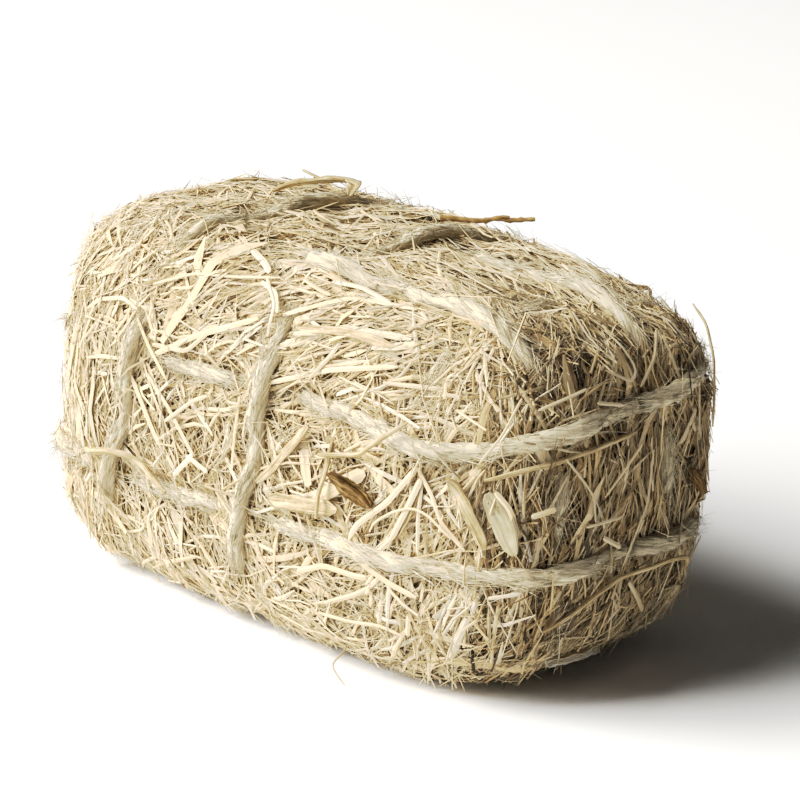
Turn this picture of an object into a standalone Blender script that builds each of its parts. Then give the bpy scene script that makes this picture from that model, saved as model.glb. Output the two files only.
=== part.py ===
"""Square hay bale, pressed dry hay tied with jute twine.

X runs along the length, the lit long side faces -Y, the shaded end is +X and
the bale stands on its flat underside at Z = 0.  Everything is in metres.
"""
import math
import random

import bmesh
import bpy
from mathutils import Matrix, Quaternion, Vector
from mathutils.bvhtree import BVHTree

MM = 0.001

# Pressed body
LENGTH = 122.5 * MM
WIDTH = 58.2 * MM
HEIGHT = 64.6 * MM
ROUNDNESS = 4.2
BACK_DROP = 0.127
LEFT_SWELL = 0.073
LEAN = 0.123
FLAT_CUT = 1.3 * MM

# Twine
TWINE_RADIUS = 1.75 * MM
TWINE_BURY = 1.2 * MM
UNDERSIDE_BURY = 3.5 * MM
OVER_LIFT = 2.4 * MM
UNDER_SINK = 2.2 * MM
CROSSING_FLAT = 3.4 * MM
CROSSING_REACH = 10.5 * MM
LOOP_STEPS = 200
BEND_TOLERANCE = 0.42 * MM
CLEARANCE = 1.9 * MM
FLOOR_HALF = 2.6 * MM
SHOULDER = 5.2 * MM

# Short stalks pressed into the body
STALK_SEED = 41
STALK_COUNT = 72
STALK_TRIES = 2600
STALK_LENGTHS = (12.0 * MM, 25.0 * MM)
STALK_WIDTHS = (1.5 * MM, 2.8 * MM)
STALK_THICKNESS = 1.7 * MM
STALK_SET_IN = 0.75 * MM
STALK_SPACING = 2.2 * MM

# Loose stalks laid on the body
LAY_GAP = 0.55 * MM
LAY_STEP = 1.5 * MM
LAY_RAMP = 0.45
STEM_TOLERANCE = 0.3 * MM
SKIN_STEPS = 44

# Route in mm, width, thickness and whether the stalk stands off the hay
LOOSE_STALKS = {
    "leaf_near_corner": (
        ((52, -24, 35.5), (54, -23.5, 32.5), (55.5, -23, 29.5), (56.5, -22.5, 26)),
        4.2, 0.5, False,
    ),
    "flat_stem_near_corner": (
        ((47, -26, 37), (49.5, -25.5, 33.5), (51.5, -25, 29.5), (53, -25, 26)),
        2.3, 0.7, False,
    ),
    "flat_straw_front": (((9.5, -30, 25), (16.5, -30, 26), (26, -29.5, 27)), 3.8, 0.6, False),
    "upright_stem_front": (((23.5, -28, 38), (22.5, -29, 31), (22.5, -30, 24.5)), 1.1, 0.9, False),
    "diagonal_stem_front": (((18, -28, 39), (13, -29, 33.5), (7.5, -29.5, 27)), 2.0, 0.8, False),
    "curved_stem_front": (
        ((21, -28.5, 35), (26.5, -28.5, 36), (31.5, -28, 37.5), (40, -26, 44)),
        1.2, 0.9, False,
    ),
    "bent_stem_left": (
        ((-41.5, -29, 21.5), (-32.5, -29.5, 23.5), (-26.5, -30, 24.5), (-15, -30.5, 20)),
        1.5, 0.9, False,
    ),
    "dried_bract_front": (((25.5, -29, 33.5), (29.5, -29, 31.5), (33.5, -29, 29)), 4.6, 0.6, False),
    "fan_stem_corner": (((42, -27, 36), (40.5, -28, 30), (38, -29, 25)), 1.6, 0.8, False),
    "flat_straw_shoulder": (((11, -25, 52.5), (22.5, -24.5, 54), (33, -24, 53.5)), 2.6, 0.7, False),
    "long_straw_end_upper": (
        ((51.5, -24, 37), (58, -19, 39.5), (61, -7.5, 41.5), (61, -1.5, 42)),
        1.5, 0.8, False,
    ),
    "long_straw_end_lower": (
        ((58, -19.5, 13.5), (61, -9, 18), (61, 6, 21), (59.5, 13.5, 14.5)),
        1.3, 0.8, False,
    ),
    "papery_bract_end": (((56, -15.5, 7), (55.5, -8, 6.5), (54.5, -1, 6)), 4.6, 0.5, False),
    "seed_husk_end": (((61.6, 11, 33.5), (61.8, 13.5, 31), (61.2, 15.5, 28)), 3.6, 0.5, True),
    "drooping_strand": (
        ((49.5, 25.5, 55.5), (54.5, 23.5, 53), (58.5, 20.5, 49), (61, 18, 44), (62, 16.5, 38.5)),
        1.0, 0.8, True,
    ),
    "folded_straw_top": (
        ((-25.5, 1, 66), (-21.5, 5.5, 66.3), (-20, 11, 67), (-18, 14, 67.5), (-15, 11.5, 66.5), (-13, 8, 65.5)),
        2.8, 0.7, True,
    ),
    "straw_tip_top_back": (((-23.5, 12.5, 66.6), (-26.5, 12, 67.4), (-29.5, 11.5, 68.3)), 1.0, 0.8, True),
    "straw_tip_top_left": (((-39.5, 2.5, 66), (-35.2, 7.2, 66.2)), 1.0, 0.8, True),
    "loose_hair_front": (((28, -30.5, 5.5), (30.5, -33, 3), (33.5, -35.5, 0.9)), 0.8, 0.7, True),
}
TWIG_STEM = ((4.5, 12.5, 63.6), (8, 16, 63.9), (12, 20, 63.8), (16.5, 24.5, 64.2))
TWIG_BRANCH = ((10, 18.2, 64), (11.2, 19.2, 65.2), (11.8, 19.8, 66.6))
TWIG_WIDTHS = (1.8, 1.3)
TWIG_FACING = Vector((0.7, -0.7, 0.0))


def clear_scene():
    """Remove every object so that only the bale is left."""
    for item in list(bpy.data.objects):
        bpy.data.objects.remove(item, do_unlink=True)


def material(name, colour, roughness=0.85):
    """Return a matt Principled material."""
    mat = bpy.data.materials.new(name)
    mat.use_nodes = True
    shader = mat.node_tree.nodes["Principled BSDF"]
    shader.inputs["Base Color"].default_value = (*colour, 1.0)
    shader.inputs["Roughness"].default_value = roughness
    mat.diffuse_color = (*colour, 1.0)
    return mat


def surface(a, b, c):
    """Return the point and outward normal of the bulged body.

    a, b and c are a direction whose largest part is 1 or -1.
    """
    radius = (abs(a) ** ROUNDNESS + abs(b) ** ROUNDNESS + abs(c) ** ROUNDNESS) ** (-1.0 / ROUNDNESS)
    u = a * radius
    v = b * radius
    w = c * radius
    if u > 0.0:
        stretch = 1.0 - BACK_DROP * u * (0.5 + 0.5 * v) * max(0.0, w)
    else:
        stretch = 1.0 + LEFT_SWELL * u * u
    x = u * LENGTH / 2.0
    z = (w + 1.0) * HEIGHT / 2.0 * stretch - FLAT_CUT
    y = v * WIDTH / 2.0 + LEAN * (z - HEIGHT / 2.0)
    power = ROUNDNESS - 1.0
    slope = Vector((
        math.copysign(abs(u) ** power, u) / LENGTH,
        math.copysign(abs(v) ** power, v) / WIDTH,
        math.copysign(abs(w) ** power, w) / HEIGHT,
    ))
    slope.z -= LEAN * slope.y
    if z <= 0.0:
        return Vector((x, y, 0.0)), Vector((0.0, 0.0, -1.0))
    return Vector((x, y, z)), slope.normalized()


def girth_left(p):
    """Left girth tie, as x for a place on the bale."""
    return (-24.7 + 0.197 * p.y / MM + 0.164 * (p.z / MM - 33.0)) * MM


def girth_middle(p):
    """Middle girth tie, leaning to the right as it climbs."""
    return (6.8 + 0.079 * p.y / MM + 0.131 * (p.z / MM - 33.0)) * MM


def girth_right(p):
    """Right girth tie, close to the shaded end."""
    return (39.6 + 0.08 * p.y / MM + 0.16 * (p.z / MM - 33.0)) * MM


def around_lower(p):
    """Lower tie around the four sides."""
    return (20.7 + 0.033 * p.x / MM + 0.013 * p.y / MM) * MM


def around_upper(p):
    """Upper tie around the four sides, sagging at the near corner."""
    sag = math.exp(-(((p.x / MM - 44.0) / 15.0) ** 2) - ((p.y / MM + 26.0) / 12.0) ** 2)
    return (44.0 + 0.027 * p.x / MM + 0.073 * p.y / MM - 3.4 * sag) * MM


def lengthwise_front(p):
    """Front tie over the length, as y for a place on the bale."""
    return (-17.3 + 0.022 * p.x / MM) * MM


def lengthwise_back(p):
    """Back tie over the length."""
    return (6.0 + 0.03 * p.x / MM) * MM


GIRTHS = (girth_left, girth_middle, girth_right)
AROUNDS = (around_lower, around_upper)
LENGTHWISE = (lengthwise_front, lengthwise_back)


def settle(direction, lines):
    """Move a direction until its surface point lies on the wanted lines.

    lines holds, for each axis, None or a (function, offset) pair.
    """
    span = (LENGTH / 2.0, WIDTH / 2.0, HEIGHT / 2.0)
    current = list(direction)
    for _ in range(24):
        point, _normal = surface(*current)
        for axis in range(3):
            if lines[axis] is None:
                continue
            rule, offset = lines[axis]
            error = rule(point) + offset - point[axis]
            current[axis] += 0.8 * error / span[axis]
            current[axis] = max(-0.985, min(0.985, current[axis]))
    return tuple(current)


def grid_lines(rules, gaps):
    """Return the line list of one axis: ends, tie edges and lines between.

    gaps says how many spare lines come before each tie and after the last.
    """
    lines = [("end", -1.0)]
    for index, rule in enumerate(rules):
        lines += [("between", (step + 1.0) / (gaps[index] + 1.0)) for step in range(gaps[index])]
        for offset in (-SHOULDER, -FLOOR_HALF, FLOOR_HALF, SHOULDER):
            lines.append(("tie", rule, offset))
    lines += [("between", (step + 1.0) / (gaps[-1] + 1.0)) for step in range(gaps[-1])]
    lines.append(("end", 1.0))
    return lines


def bracket(lines, index):
    """Return the nearest fixed lines on both sides of a spare line."""
    low = index
    while lines[low][0] == "between":
        low -= 1
    high = index
    while lines[high][0] == "between":
        high += 1
    return low, high


def line_direction(all_lines, key):
    """Return the settled direction of one lattice place."""
    base = []
    rules = []
    spare = []
    for axis in range(3):
        line = all_lines[axis][key[axis]]
        count = len(all_lines[axis]) - 1
        if line[0] == "end":
            base.append(line[1])
            rules.append(None)
        elif line[0] == "tie":
            base.append(2.0 * key[axis] / count - 1.0)
            rules.append((line[1], line[2]))
        else:
            base.append(2.0 * key[axis] / count - 1.0)
            rules.append(None)
            spare.append(axis)
    if not spare:
        return settle(base, rules)
    axis = spare[0]
    low, high = bracket(all_lines[axis], key[axis])
    low_key = list(key)
    low_key[axis] = low
    high_key = list(key)
    high_key[axis] = high
    start = line_direction(all_lines, tuple(low_key))
    stop = line_direction(all_lines, tuple(high_key))
    share = all_lines[axis][key[axis]][1]
    mixed = [start[i] + (stop[i] - start[i]) * share for i in range(3)]
    for other in range(3):
        if all_lines[other][key[other]][0] == "end":
            mixed[other] = all_lines[other][key[other]][1]
    return settle(mixed, rules)


class Route:
    """Centre line of one tie with how deep each of its points is pressed in."""

    def __init__(self, name, rank, directions, lines, closed=True):
        self.name = name
        self.rank = rank
        self.closed = closed
        self.places = []
        self.normals = []
        for direction in directions:
            point, normal = surface(*settle(direction, lines))
            self.places.append(point)
            self.normals.append(normal)
        self.bury = []
        for normal in self.normals:
            down = max(0.0, min(1.0, -normal.z * 1.6 - 0.4))
            self.bury.append(TWINE_BURY + UNDERSIDE_BURY * down)

    def spans(self):
        """Yield the index pairs of neighbouring points."""
        count = len(self.places)
        for index in range(count if self.closed else count - 1):
            yield index, (index + 1) % count

    def nearest(self, point):
        """Return the distance, share and span of the closest place."""
        best = (1.0, 0.0, 0, 0)
        for first, second in self.spans():
            start = self.places[first]
            along = self.places[second] - start
            share = max(0.0, min(1.0, (point - start).dot(along) / along.length_squared))
            gap = (start + along * share - point).length
            if gap < best[0]:
                best = (gap, share, first, second)
        return best

    def depth_at(self, point):
        """Return the distance to the tie and how deep its centre lies there."""
        gap, share, first, second = self.nearest(point)
        return gap, self.bury[first] * (1.0 - share) + self.bury[second] * share

    def centres(self):
        """Return the centre line of the tie."""
        return [p - n * d for p, n, d in zip(self.places, self.normals, self.bury)]


def square_loop(count):
    """Return evenly turned directions round a square."""
    loop = []
    for index in range(count):
        turn = (index + 0.5) * 2.0 * math.pi / count
        across = math.cos(turn)
        up = math.sin(turn)
        largest = max(abs(across), abs(up))
        loop.append((across / largest, up / largest))
    return loop


def crossing_points(first, second):
    """Return the places where two ties cross."""
    found = []
    for place in first.places:
        gap = second.nearest(place)[0]
        if gap > 2.6 * MM:
            continue
        near = [k for k, item in enumerate(found) if (item[1] - place).length < 9.0 * MM]
        if not near:
            found.append((gap, place))
        elif gap < found[near[0]][0]:
            found[near[0]] = (gap, place)
    return [item[1] for item in found]


def crossing_share(length):
    """Return how much of the lift is left at a distance from a crossing."""
    if length <= CROSSING_FLAT:
        return 1.0
    if length >= CROSSING_REACH:
        return 0.0
    share = (length - CROSSING_FLAT) / (CROSSING_REACH - CROSSING_FLAT)
    return 0.5 + 0.5 * math.cos(share * math.pi)


def press_crossings(routes, knot_at):
    """Lift the upper tie and sink the lower one at each crossing."""
    lifts = [[0.0] * len(route.places) for route in routes]
    sinks = [[0.0] * len(route.places) for route in routes]
    for i, first in enumerate(routes):
        for j in range(i + 1, len(routes)):
            second = routes[j]
            for place in crossing_points(first, second):
                first_over = first.rank > second.rank
                if (place - knot_at).length < 9.0 * MM:
                    first_over = first.name == "twine_lengthwise_front"
                over, under = (i, j) if first_over else (j, i)
                for k, spot in enumerate(routes[over].places):
                    lifts[over][k] = max(lifts[over][k], crossing_share((spot - place).length))
                for k, spot in enumerate(routes[under].places):
                    sinks[under][k] = max(sinks[under][k], crossing_share((spot - place).length))
    for route, lift, sink in zip(routes, lifts, sinks):
        for k in range(len(route.bury)):
            route.bury[k] += UNDER_SINK * sink[k] - OVER_LIFT * lift[k]


def thin_out(points, closed):
    """Return the points that a line needs to keep its bends."""
    if closed:
        half = len(points) // 2
        first = keep_bends(points, 0, half)
        second = keep_bends(points + points[:1], half, len(points))
        return [points[k % len(points)] for k in sorted(set(first + second) - {len(points)})]
    return [points[k] for k in sorted(set(keep_bends(points, 0, len(points) - 1)))]


def keep_bends(points, first, last, tolerance=BEND_TOLERANCE):
    """Return the indices of one stretch that lie off its straight line."""
    start = points[first]
    along = points[last] - start
    worst = 0.0
    at = first
    for k in range(first + 1, last):
        share = max(0.0, min(1.0, (points[k] - start).dot(along) / along.length_squared))
        gap = (start + along * share - points[k]).length
        if gap > worst:
            worst = gap
            at = k
    if worst < tolerance:
        return [first, last]
    return keep_bends(points, first, at, tolerance) + keep_bends(points, at, last, tolerance)


def tie_routes():
    """Return the seven tie routes in building order."""
    ring = square_loop(LOOP_STEPS)
    routes = []
    girth_names = ("twine_girth_left", "twine_girth_middle", "twine_girth_right")
    girth_ranks = (6, 7, 2)
    for name, rank, rule, guess in zip(girth_names, girth_ranks, GIRTHS, (-0.35, 0.2, 0.7)):
        directions = [(guess, b, c) for b, c in ring]
        routes.append(Route(name, rank, directions, ((rule, 0.0), None, None)))
    around_names = ("twine_around_lower", "twine_around_upper")
    for name, rank, rule, guess in zip(around_names, (5, 4), AROUNDS, (-0.3, 0.3)):
        directions = [(a, b, guess) for a, b in ring]
        routes.append(Route(name, rank, directions, (None, None, (rule, 0.0))))
    directions = [(a, 0.1, c) for a, c in ring]
    routes.append(Route("twine_lengthwise_back", 3, directions, (None, (lengthwise_back, 0.0), None)))
    routes.append(front_route(ring))
    return routes


def front_route(ring):
    """Return the front lengthwise tie, open at the knot on the top."""
    start_x = 4.0 * MM
    end_x = -1.0 * MM
    lined = [(a, -0.5, c) for a, c in ring]
    lines = (None, (lengthwise_front, 0.0), None)
    whole = Route("twine_lengthwise_front", 3, lined, lines)
    order = list(range(len(whole.places)))
    tops = [k for k in order if whole.normals[k].z > 0.7 and whole.places[k].x > start_x]
    first = min(tops, key=lambda k: whole.places[k].x)
    turned = order[first::-1] + order[:first:-1]
    keep = [k for k in turned if not (whole.normals[k].z > 0.7 and end_x < whole.places[k].x <= start_x)]
    route = Route("twine_lengthwise_front", 3, [], lines, closed=False)
    route.places = [whole.places[k] for k in keep]
    route.normals = [whole.normals[k] for k in keep]
    route.bury = [whole.bury[k] for k in keep]
    return route


def new_object(name, mesh, mat):
    """Link a mesh as an object with one material."""
    item = bpy.data.objects.new(name, mesh)
    bpy.context.scene.collection.objects.link(item)
    item.data.materials.append(mat)
    return item


def body_mesh(routes):
    """Return the bulged body with a channel under every tie."""
    all_lines = (
        grid_lines(GIRTHS, (2, 2, 1, 1)),
        grid_lines(LENGTHWISE, (1, 1, 1)),
        grid_lines(AROUNDS, (1, 1, 1)),
    )
    last = [len(lines) - 1 for lines in all_lines]
    bm = bmesh.new()
    verts = {}

    def vert(key):
        if key not in verts:
            point, normal = surface(*line_direction(all_lines, key))
            verts[key] = bm.verts.new(point - normal * channel_depth(point, routes))
        return verts[key]

    for axis in range(3):
        one, two = [k for k in range(3) if k != axis]
        for end in (0, last[axis]):
            for i in range(last[one]):
                for j in range(last[two]):
                    corners = []
                    for di, dj in ((0, 0), (1, 0), (1, 1), (0, 1)):
                        key = [0, 0, 0]
                        key[axis] = end
                        key[one] = i + di
                        key[two] = j + dj
                        corners.append(vert(tuple(key)))
                    bm.faces.new(corners)
    bmesh.ops.recalc_face_normals(bm, faces=bm.faces)
    bmesh.ops.triangulate(bm, faces=bm.faces, quad_method="BEAUTY")
    mesh = bpy.data.meshes.new("hay_body")
    bm.to_mesh(mesh)
    bm.free()
    return mesh


def channel_depth(point, routes):
    """Return how far the hay is pressed in under the ties at a place."""
    depth = 0.0
    inner = FLOOR_HALF + 0.5 * MM
    for route in routes:
        gap, bury = route.depth_at(point)
        if gap >= SHOULDER - 0.3 * MM:
            continue
        share = 1.0 if gap <= inner else (SHOULDER - gap) / (SHOULDER - inner)
        depth = max(depth, (bury + TWINE_RADIUS + CLEARANCE) * share)
    return depth


def tube(name, centres, radius, mat, closed=False, resolution=2, taper=None):
    """Return a round tube along a route as a mesh object."""
    curve = bpy.data.curves.new(name, "CURVE")
    curve.dimensions = "3D"
    curve.bevel_depth = radius
    curve.bevel_resolution = resolution
    curve.use_fill_caps = not closed
    spline = curve.splines.new("POLY")
    spline.points.add(len(centres) - 1)
    for index, centre in enumerate(centres):
        spline.points[index].co = (*centre, 1.0)
        spline.points[index].radius = taper[index] if taper else 1.0
    spline.use_cyclic_u = closed
    item = bpy.data.objects.new(name, curve)
    bpy.context.scene.collection.objects.link(item)
    curve.materials.append(mat)
    return item


def smooth_route(points, length):
    """Return close-set places on a smooth line through the points."""
    result = []
    count = len(points)
    for index in range(count - 1):
        around = [points[max(0, min(count - 1, index + k))] for k in (-1, 0, 1, 2)]
        steps = max(1, round((points[index + 1] - points[index]).length / length))
        result += [catmull(around, step / steps) for step in range(steps)]
    result.append(points[-1])
    return result


def catmull(around, share):
    """Return a place on the smooth span between the two middle points."""
    before, start, stop, after = around
    square = share * share
    cube = square * share
    return 0.5 * (
        2.0 * start
        + (stop - before) * share
        + (2.0 * before - 5.0 * start + 4.0 * stop - after) * square
        + (3.0 * start - before - 3.0 * stop + after) * cube
    )


def body_skin():
    """Return a search tree of the body without its channels."""
    places = []
    faces = []
    steps = SKIN_STEPS
    for axis in range(3):
        for end in (-1.0, 1.0):
            first = len(places)
            for i in range(steps + 1):
                for j in range(steps + 1):
                    flat = [math.tan((2.0 * k / steps - 1.0) * math.pi / 4.0) for k in (i, j)]
                    flat.insert(axis, end)
                    places.append(surface(*flat)[0])
            for i in range(steps):
                for j in range(steps):
                    at = first + i * (steps + 1) + j
                    faces.append((at, at + 1, at + steps + 2, at + steps + 1))
    return BVHTree.FromPolygons(places, faces)


class Layer:
    """What already lies on the hay, so that the next stalk goes over it."""

    def __init__(self, skin, routes):
        self.skin = skin
        self.marks = []
        self.stalks = []
        for route in routes:
            for place, bury in zip(route.places, route.bury):
                self.marks.append((place, TWINE_RADIUS, TWINE_RADIUS - bury))

    def foot(self, point):
        """Return the nearest body place and its outward normal."""
        place, normal, _index, _gap = self.skin.find_nearest(point)
        outward = place - Vector((0.0, 0.0, HEIGHT / 2.0))
        if normal.dot(outward) < 0.0:
            normal = -normal
        return place, normal

    def free_height(self, place, half_width):
        """Return the height above the body that clears what is there."""
        height = 0.0
        for spot, half, top in self.marks:
            if (spot - place).length < half + half_width + LAY_GAP:
                height = max(height, top)
        return height

    def lay(self, points, width, thickness, stands_off):
        """Return the centre line and normals of a stalk laid on the hay."""
        line = smooth_route([Vector(p) * MM for p in points], LAY_STEP)
        feet = [self.foot(p) for p in line]
        needed = []
        for point, (place, normal) in zip(line, feet):
            height = self.free_height(place, width / 2.0) + LAY_GAP + thickness / 2.0
            if stands_off:
                height = max(height, (point - place).dot(normal))
            needed.append(height)
        heights = []
        for i, (place, _normal) in enumerate(feet):
            reach = [needed[j] - LAY_RAMP * (feet[j][0] - place).length for j in range(len(feet))]
            heights.append(max(reach))
        centres = [place + normal * h for (place, normal), h in zip(feet, heights)]
        for (place, _normal), height in zip(feet, heights):
            self.marks.append((place, width / 2.0, height + thickness / 2.0))
        normals = [normal for _place, normal in feet]
        keep = sorted(set(keep_bends(centres, 0, len(centres) - 1, STEM_TOLERANCE)))
        return [centres[k] for k in keep], [normals[k] for k in keep]


def strip(name, centres, normals, widths, thickness, mat):
    """Return a flat stalk or leaf along a route as a closed mesh object."""
    bm = bmesh.new()
    rings = []
    count = len(centres)
    for index in range(count):
        ahead = centres[min(count - 1, index + 1)] - centres[max(0, index - 1)]
        side = ahead.cross(normals[index]).normalized()
        up = side.cross(ahead).normalized()
        half = widths[index] / 2.0
        corners = []
        for across, rise in ((-1.0, -1.0), (1.0, -1.0), (1.0, 1.0), (-1.0, 1.0)):
            corners.append(bm.verts.new(centres[index] + side * across * half + up * rise * thickness / 2.0))
        rings.append(corners)
    for first, second in zip(rings, rings[1:]):
        for k in range(4):
            bm.faces.new((first[k], first[(k + 1) % 4], second[(k + 1) % 4], second[k]))
    bm.faces.new(rings[0])
    bm.faces.new(rings[-1])
    bmesh.ops.recalc_face_normals(bm, faces=bm.faces)
    mesh = bpy.data.meshes.new(name)
    bm.to_mesh(mesh)
    bm.free()
    return new_object(name, mesh, mat)


def tapered(width, count):
    """Return stalk widths that narrow towards both tips."""
    widths = []
    for index in range(count):
        share = index / (count - 1)
        widths.append(width * (0.55 + 0.45 * math.sin(math.pi * (0.12 + 0.76 * share))))
    return widths


def lay_loose_stalks(layer, straw, bark):
    """Lay the prominent loose stalks, leaves and husks on the hay."""
    for name, (points, width, thickness, stands_off) in LOOSE_STALKS.items():
        centres, normals = layer.lay(points, width * MM, thickness * MM, stands_off)
        mat = bark if "bract" in name or "husk" in name else straw
        strip(name, centres, normals, tapered(width * MM, len(centres)), thickness * MM, mat)


def lay_twig(layer, bark):
    """Lay the twig on the top back edge, its side branch standing up."""
    width, branch_width = (value * MM for value in TWIG_WIDTHS)
    centres, normals = layer.lay(TWIG_STEM, width, width, True)
    stem = strip("twig_top", centres, normals, [width] * len(centres), width, bark)
    branch = [Vector(p) * MM for p in TWIG_BRANCH]
    spots = [start.lerp(stop, k / 8.0) for start, stop in zip(centres, centres[1:]) for k in range(9)]
    root = min(spots, key=lambda spot: (spot - branch[0]).length)
    branch = [p + root - branch[0] for p in branch]
    count = len(branch)
    extra = strip("twig_branch", branch, [TWIG_FACING] * count, [branch_width] * count, branch_width, bark)
    fuse(stem, extra)


def fuse(target, extra):
    """Join a mesh into another as one closed solid and remove the extra."""
    modifier = target.modifiers.new("fuse", "BOOLEAN")
    modifier.operation = "UNION"
    modifier.solver = "EXACT"
    modifier.object = extra
    bpy.context.view_layer.update()
    graph = bpy.context.evaluated_depsgraph_get()
    mesh = bpy.data.meshes.new_from_object(target.evaluated_get(graph))
    target.modifiers.clear()
    target.data = mesh
    bpy.data.objects.remove(extra, do_unlink=True)


def line_gap(point, line):
    """Return the distance from a point to a polyline."""
    best = 1.0
    for start, stop in zip(line, line[1:]):
        along = stop - start
        share = max(0.0, min(1.0, (point - start).dot(along) / along.length_squared))
        best = min(best, (start + along * share - point).length)
    return best


def press_stalks(body, layer, routes, straw):
    """Fuse short stalks into the body, clear of the ties and loose stalks."""
    rng = random.Random(STALK_SEED)
    ties = []
    for route in routes:
        line = route.centres()
        ties.append(line + line[:1] if route.closed else line)
    loose = [(spot, half) for spot, half, _top in layer.marks]
    chosen = []
    for _ in range(STALK_TRIES):
        if len(chosen) == STALK_COUNT:
            break
        direction = [rng.uniform(-1.0, 1.0) for _k in range(3)]
        sides = rng.sample(range(3), 2 if rng.random() < 0.6 else 1)
        for axis in sides:
            direction[axis] = math.copysign(rng.uniform(0.86, 1.0), direction[axis])
        largest = max(abs(value) for value in direction)
        point, normal = surface(*(value / largest for value in direction))
        length = rng.uniform(*STALK_LENGTHS)
        width = rng.uniform(*STALK_WIDTHS)
        guide = Vector((0.0, 0.0, 1.0)) if abs(normal.x) > 0.5 else Vector((1.0, 0.0, 0.0))
        along = normal.cross(guide.cross(normal)).normalized() * -1.0
        along.rotate(Quaternion(normal, rng.gauss(0.0, 0.55)))
        centre = point - normal * STALK_SET_IN
        line = [centre + along * length * (k / 8.0 - 0.5) for k in range(9)]
        if min(p.z for p in line) < 2.0 * MM:
            continue
        clear_tie = TWINE_RADIUS + width / 2.0 + LAY_GAP + 0.3 * MM
        if any(line_gap(p, tie) < clear_tie for p in line for tie in ties):
            continue
        if any((p - spot).length < half + width / 2.0 + 1.9 * MM for p in line for spot, half in loose):
            continue
        if any(line_gap(p, other) < STALK_SPACING + width / 2.0 for p in line for other in chosen):
            continue
        chosen.append([line[0], line[-1]])
        layer.stalks.append((line[0], line[-1], normal, width))
    for first, last, normal, width in layer.stalks:
        piece = strip("stalk", [first, last], [normal] * 2, [width, width], STALK_THICKNESS, straw)
        fuse(body, piece)


def centre_over_base():
    """Move everything so that the box of the whole bale stands on the origin."""
    bpy.context.view_layer.update()
    graph = bpy.context.evaluated_depsgraph_get()
    places = []
    for item in bpy.data.objects:
        shape = item.evaluated_get(graph)
        mesh = shape.to_mesh()
        places += [vertex.co.copy() for vertex in mesh.vertices]
        shape.to_mesh_clear()
    shift = Vector((0.0, 0.0, 0.0))
    for axis in (0, 1):
        shift[axis] = -(min(p[axis] for p in places) + max(p[axis] for p in places)) / 2.0
    for item in bpy.data.objects:
        item.data.transform(Matrix.Translation(shift))


def main():
    """Build the bale."""
    clear_scene()
    hay = material("pressed_hay", (0.62, 0.50, 0.32))
    jute = material("jute_twine", (0.58, 0.50, 0.38), 0.95)
    straw = material("pale_straw", (0.74, 0.62, 0.42), 0.7)
    bark = material("brown_husk", (0.45, 0.34, 0.21), 0.8)
    routes = tie_routes()
    knot_at = surface(*settle((0.2, -0.5, 1.0), ((girth_middle, 0.0), (lengthwise_front, 0.0), None)))[0]
    press_crossings(routes, knot_at)
    body = new_object("hay_body", body_mesh(routes), hay)
    layer = Layer(body_skin(), routes)
    lay_loose_stalks(layer, straw, bark)
    lay_twig(layer, bark)
    press_stalks(body, layer, routes, hay)
    for route in routes:
        centres = thin_out(route.centres(), route.closed)
        tube(route.name, centres, TWINE_RADIUS, jute, closed=route.closed)
    centre_over_base()


main()
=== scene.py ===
"""Looks of the square hay bale: pressed dry hay tied with hairy jute twine.

Lengths are in metres unless a name ends in _mm.  X runs along the bale, the
lit long side faces -Y and the shaded end is +X.
"""
import logging
import math
from dataclasses import dataclass, field
from enum import Enum
from typing import Optional, Sequence

import bpy
import numpy as np
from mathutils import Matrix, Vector
from mathutils.kdtree import KDTree


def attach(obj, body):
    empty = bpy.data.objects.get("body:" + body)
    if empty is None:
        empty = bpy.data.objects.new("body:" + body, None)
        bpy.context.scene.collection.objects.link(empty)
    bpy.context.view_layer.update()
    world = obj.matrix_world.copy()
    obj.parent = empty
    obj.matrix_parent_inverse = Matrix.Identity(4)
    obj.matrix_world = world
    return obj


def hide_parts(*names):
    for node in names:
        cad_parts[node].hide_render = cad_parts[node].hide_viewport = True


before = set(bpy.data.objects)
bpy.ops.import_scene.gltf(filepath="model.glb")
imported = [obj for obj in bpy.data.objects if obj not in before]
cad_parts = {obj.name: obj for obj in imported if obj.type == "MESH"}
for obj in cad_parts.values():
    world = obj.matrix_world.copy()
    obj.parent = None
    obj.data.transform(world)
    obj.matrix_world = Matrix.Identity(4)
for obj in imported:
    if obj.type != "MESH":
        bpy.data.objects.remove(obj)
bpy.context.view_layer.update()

LOG = logging.getLogger("hay_bale")
MM = 0.001
TAU = 2.0 * math.pi
SEED = 20
BAKE_MAP = "OFBake"
# The hay's map has one lane a tone, and each lane holds 60 mm of stalk.
LANES = 64
MAP_LENGTH_MM = 60.0
TWINE_MAP_MM = 420.0
# No point lies lower than the first, and no strand's middle than the second.
FLOOR_GAP = 0.02 * MM
STRAND_GAP = 0.15 * MM
# Most noise values lie between these.
NOISE_SPAN = (0.3, 0.7)
FEWEST_SAMPLES = 300
FEWEST_STEPS = 4

Array = np.ndarray


def linear(hex_colour: str) -> tuple[float, float, float, float]:
    """Turn an sRGB hex colour into a linear one.

    Args:
        hex_colour: six hex digits.

    Returns:
        Red, green, blue and alpha.
    """
    values = [int(hex_colour[k:k + 2], 16) / 255.0 for k in (0, 2, 4)]
    turned = [v / 12.92 if v <= 0.04045 else ((v + 0.055) / 1.055) ** 2.4 for v in values]
    return (*turned, 1.0)


def unit(vectors: Array) -> Array:
    """Return vectors scaled to length one."""
    return vectors / np.maximum(np.linalg.norm(vectors, axis=-1, keepdims=True), 1e-12)


def smooth_step(low: float, high: float, value: Array) -> Array:
    """Return a soft rise from 0 at low to 1 at high."""
    share = np.clip((value - low) / (high - low), 0.0, 1.0)
    return share * share * (3.0 - 2.0 * share)


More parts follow.
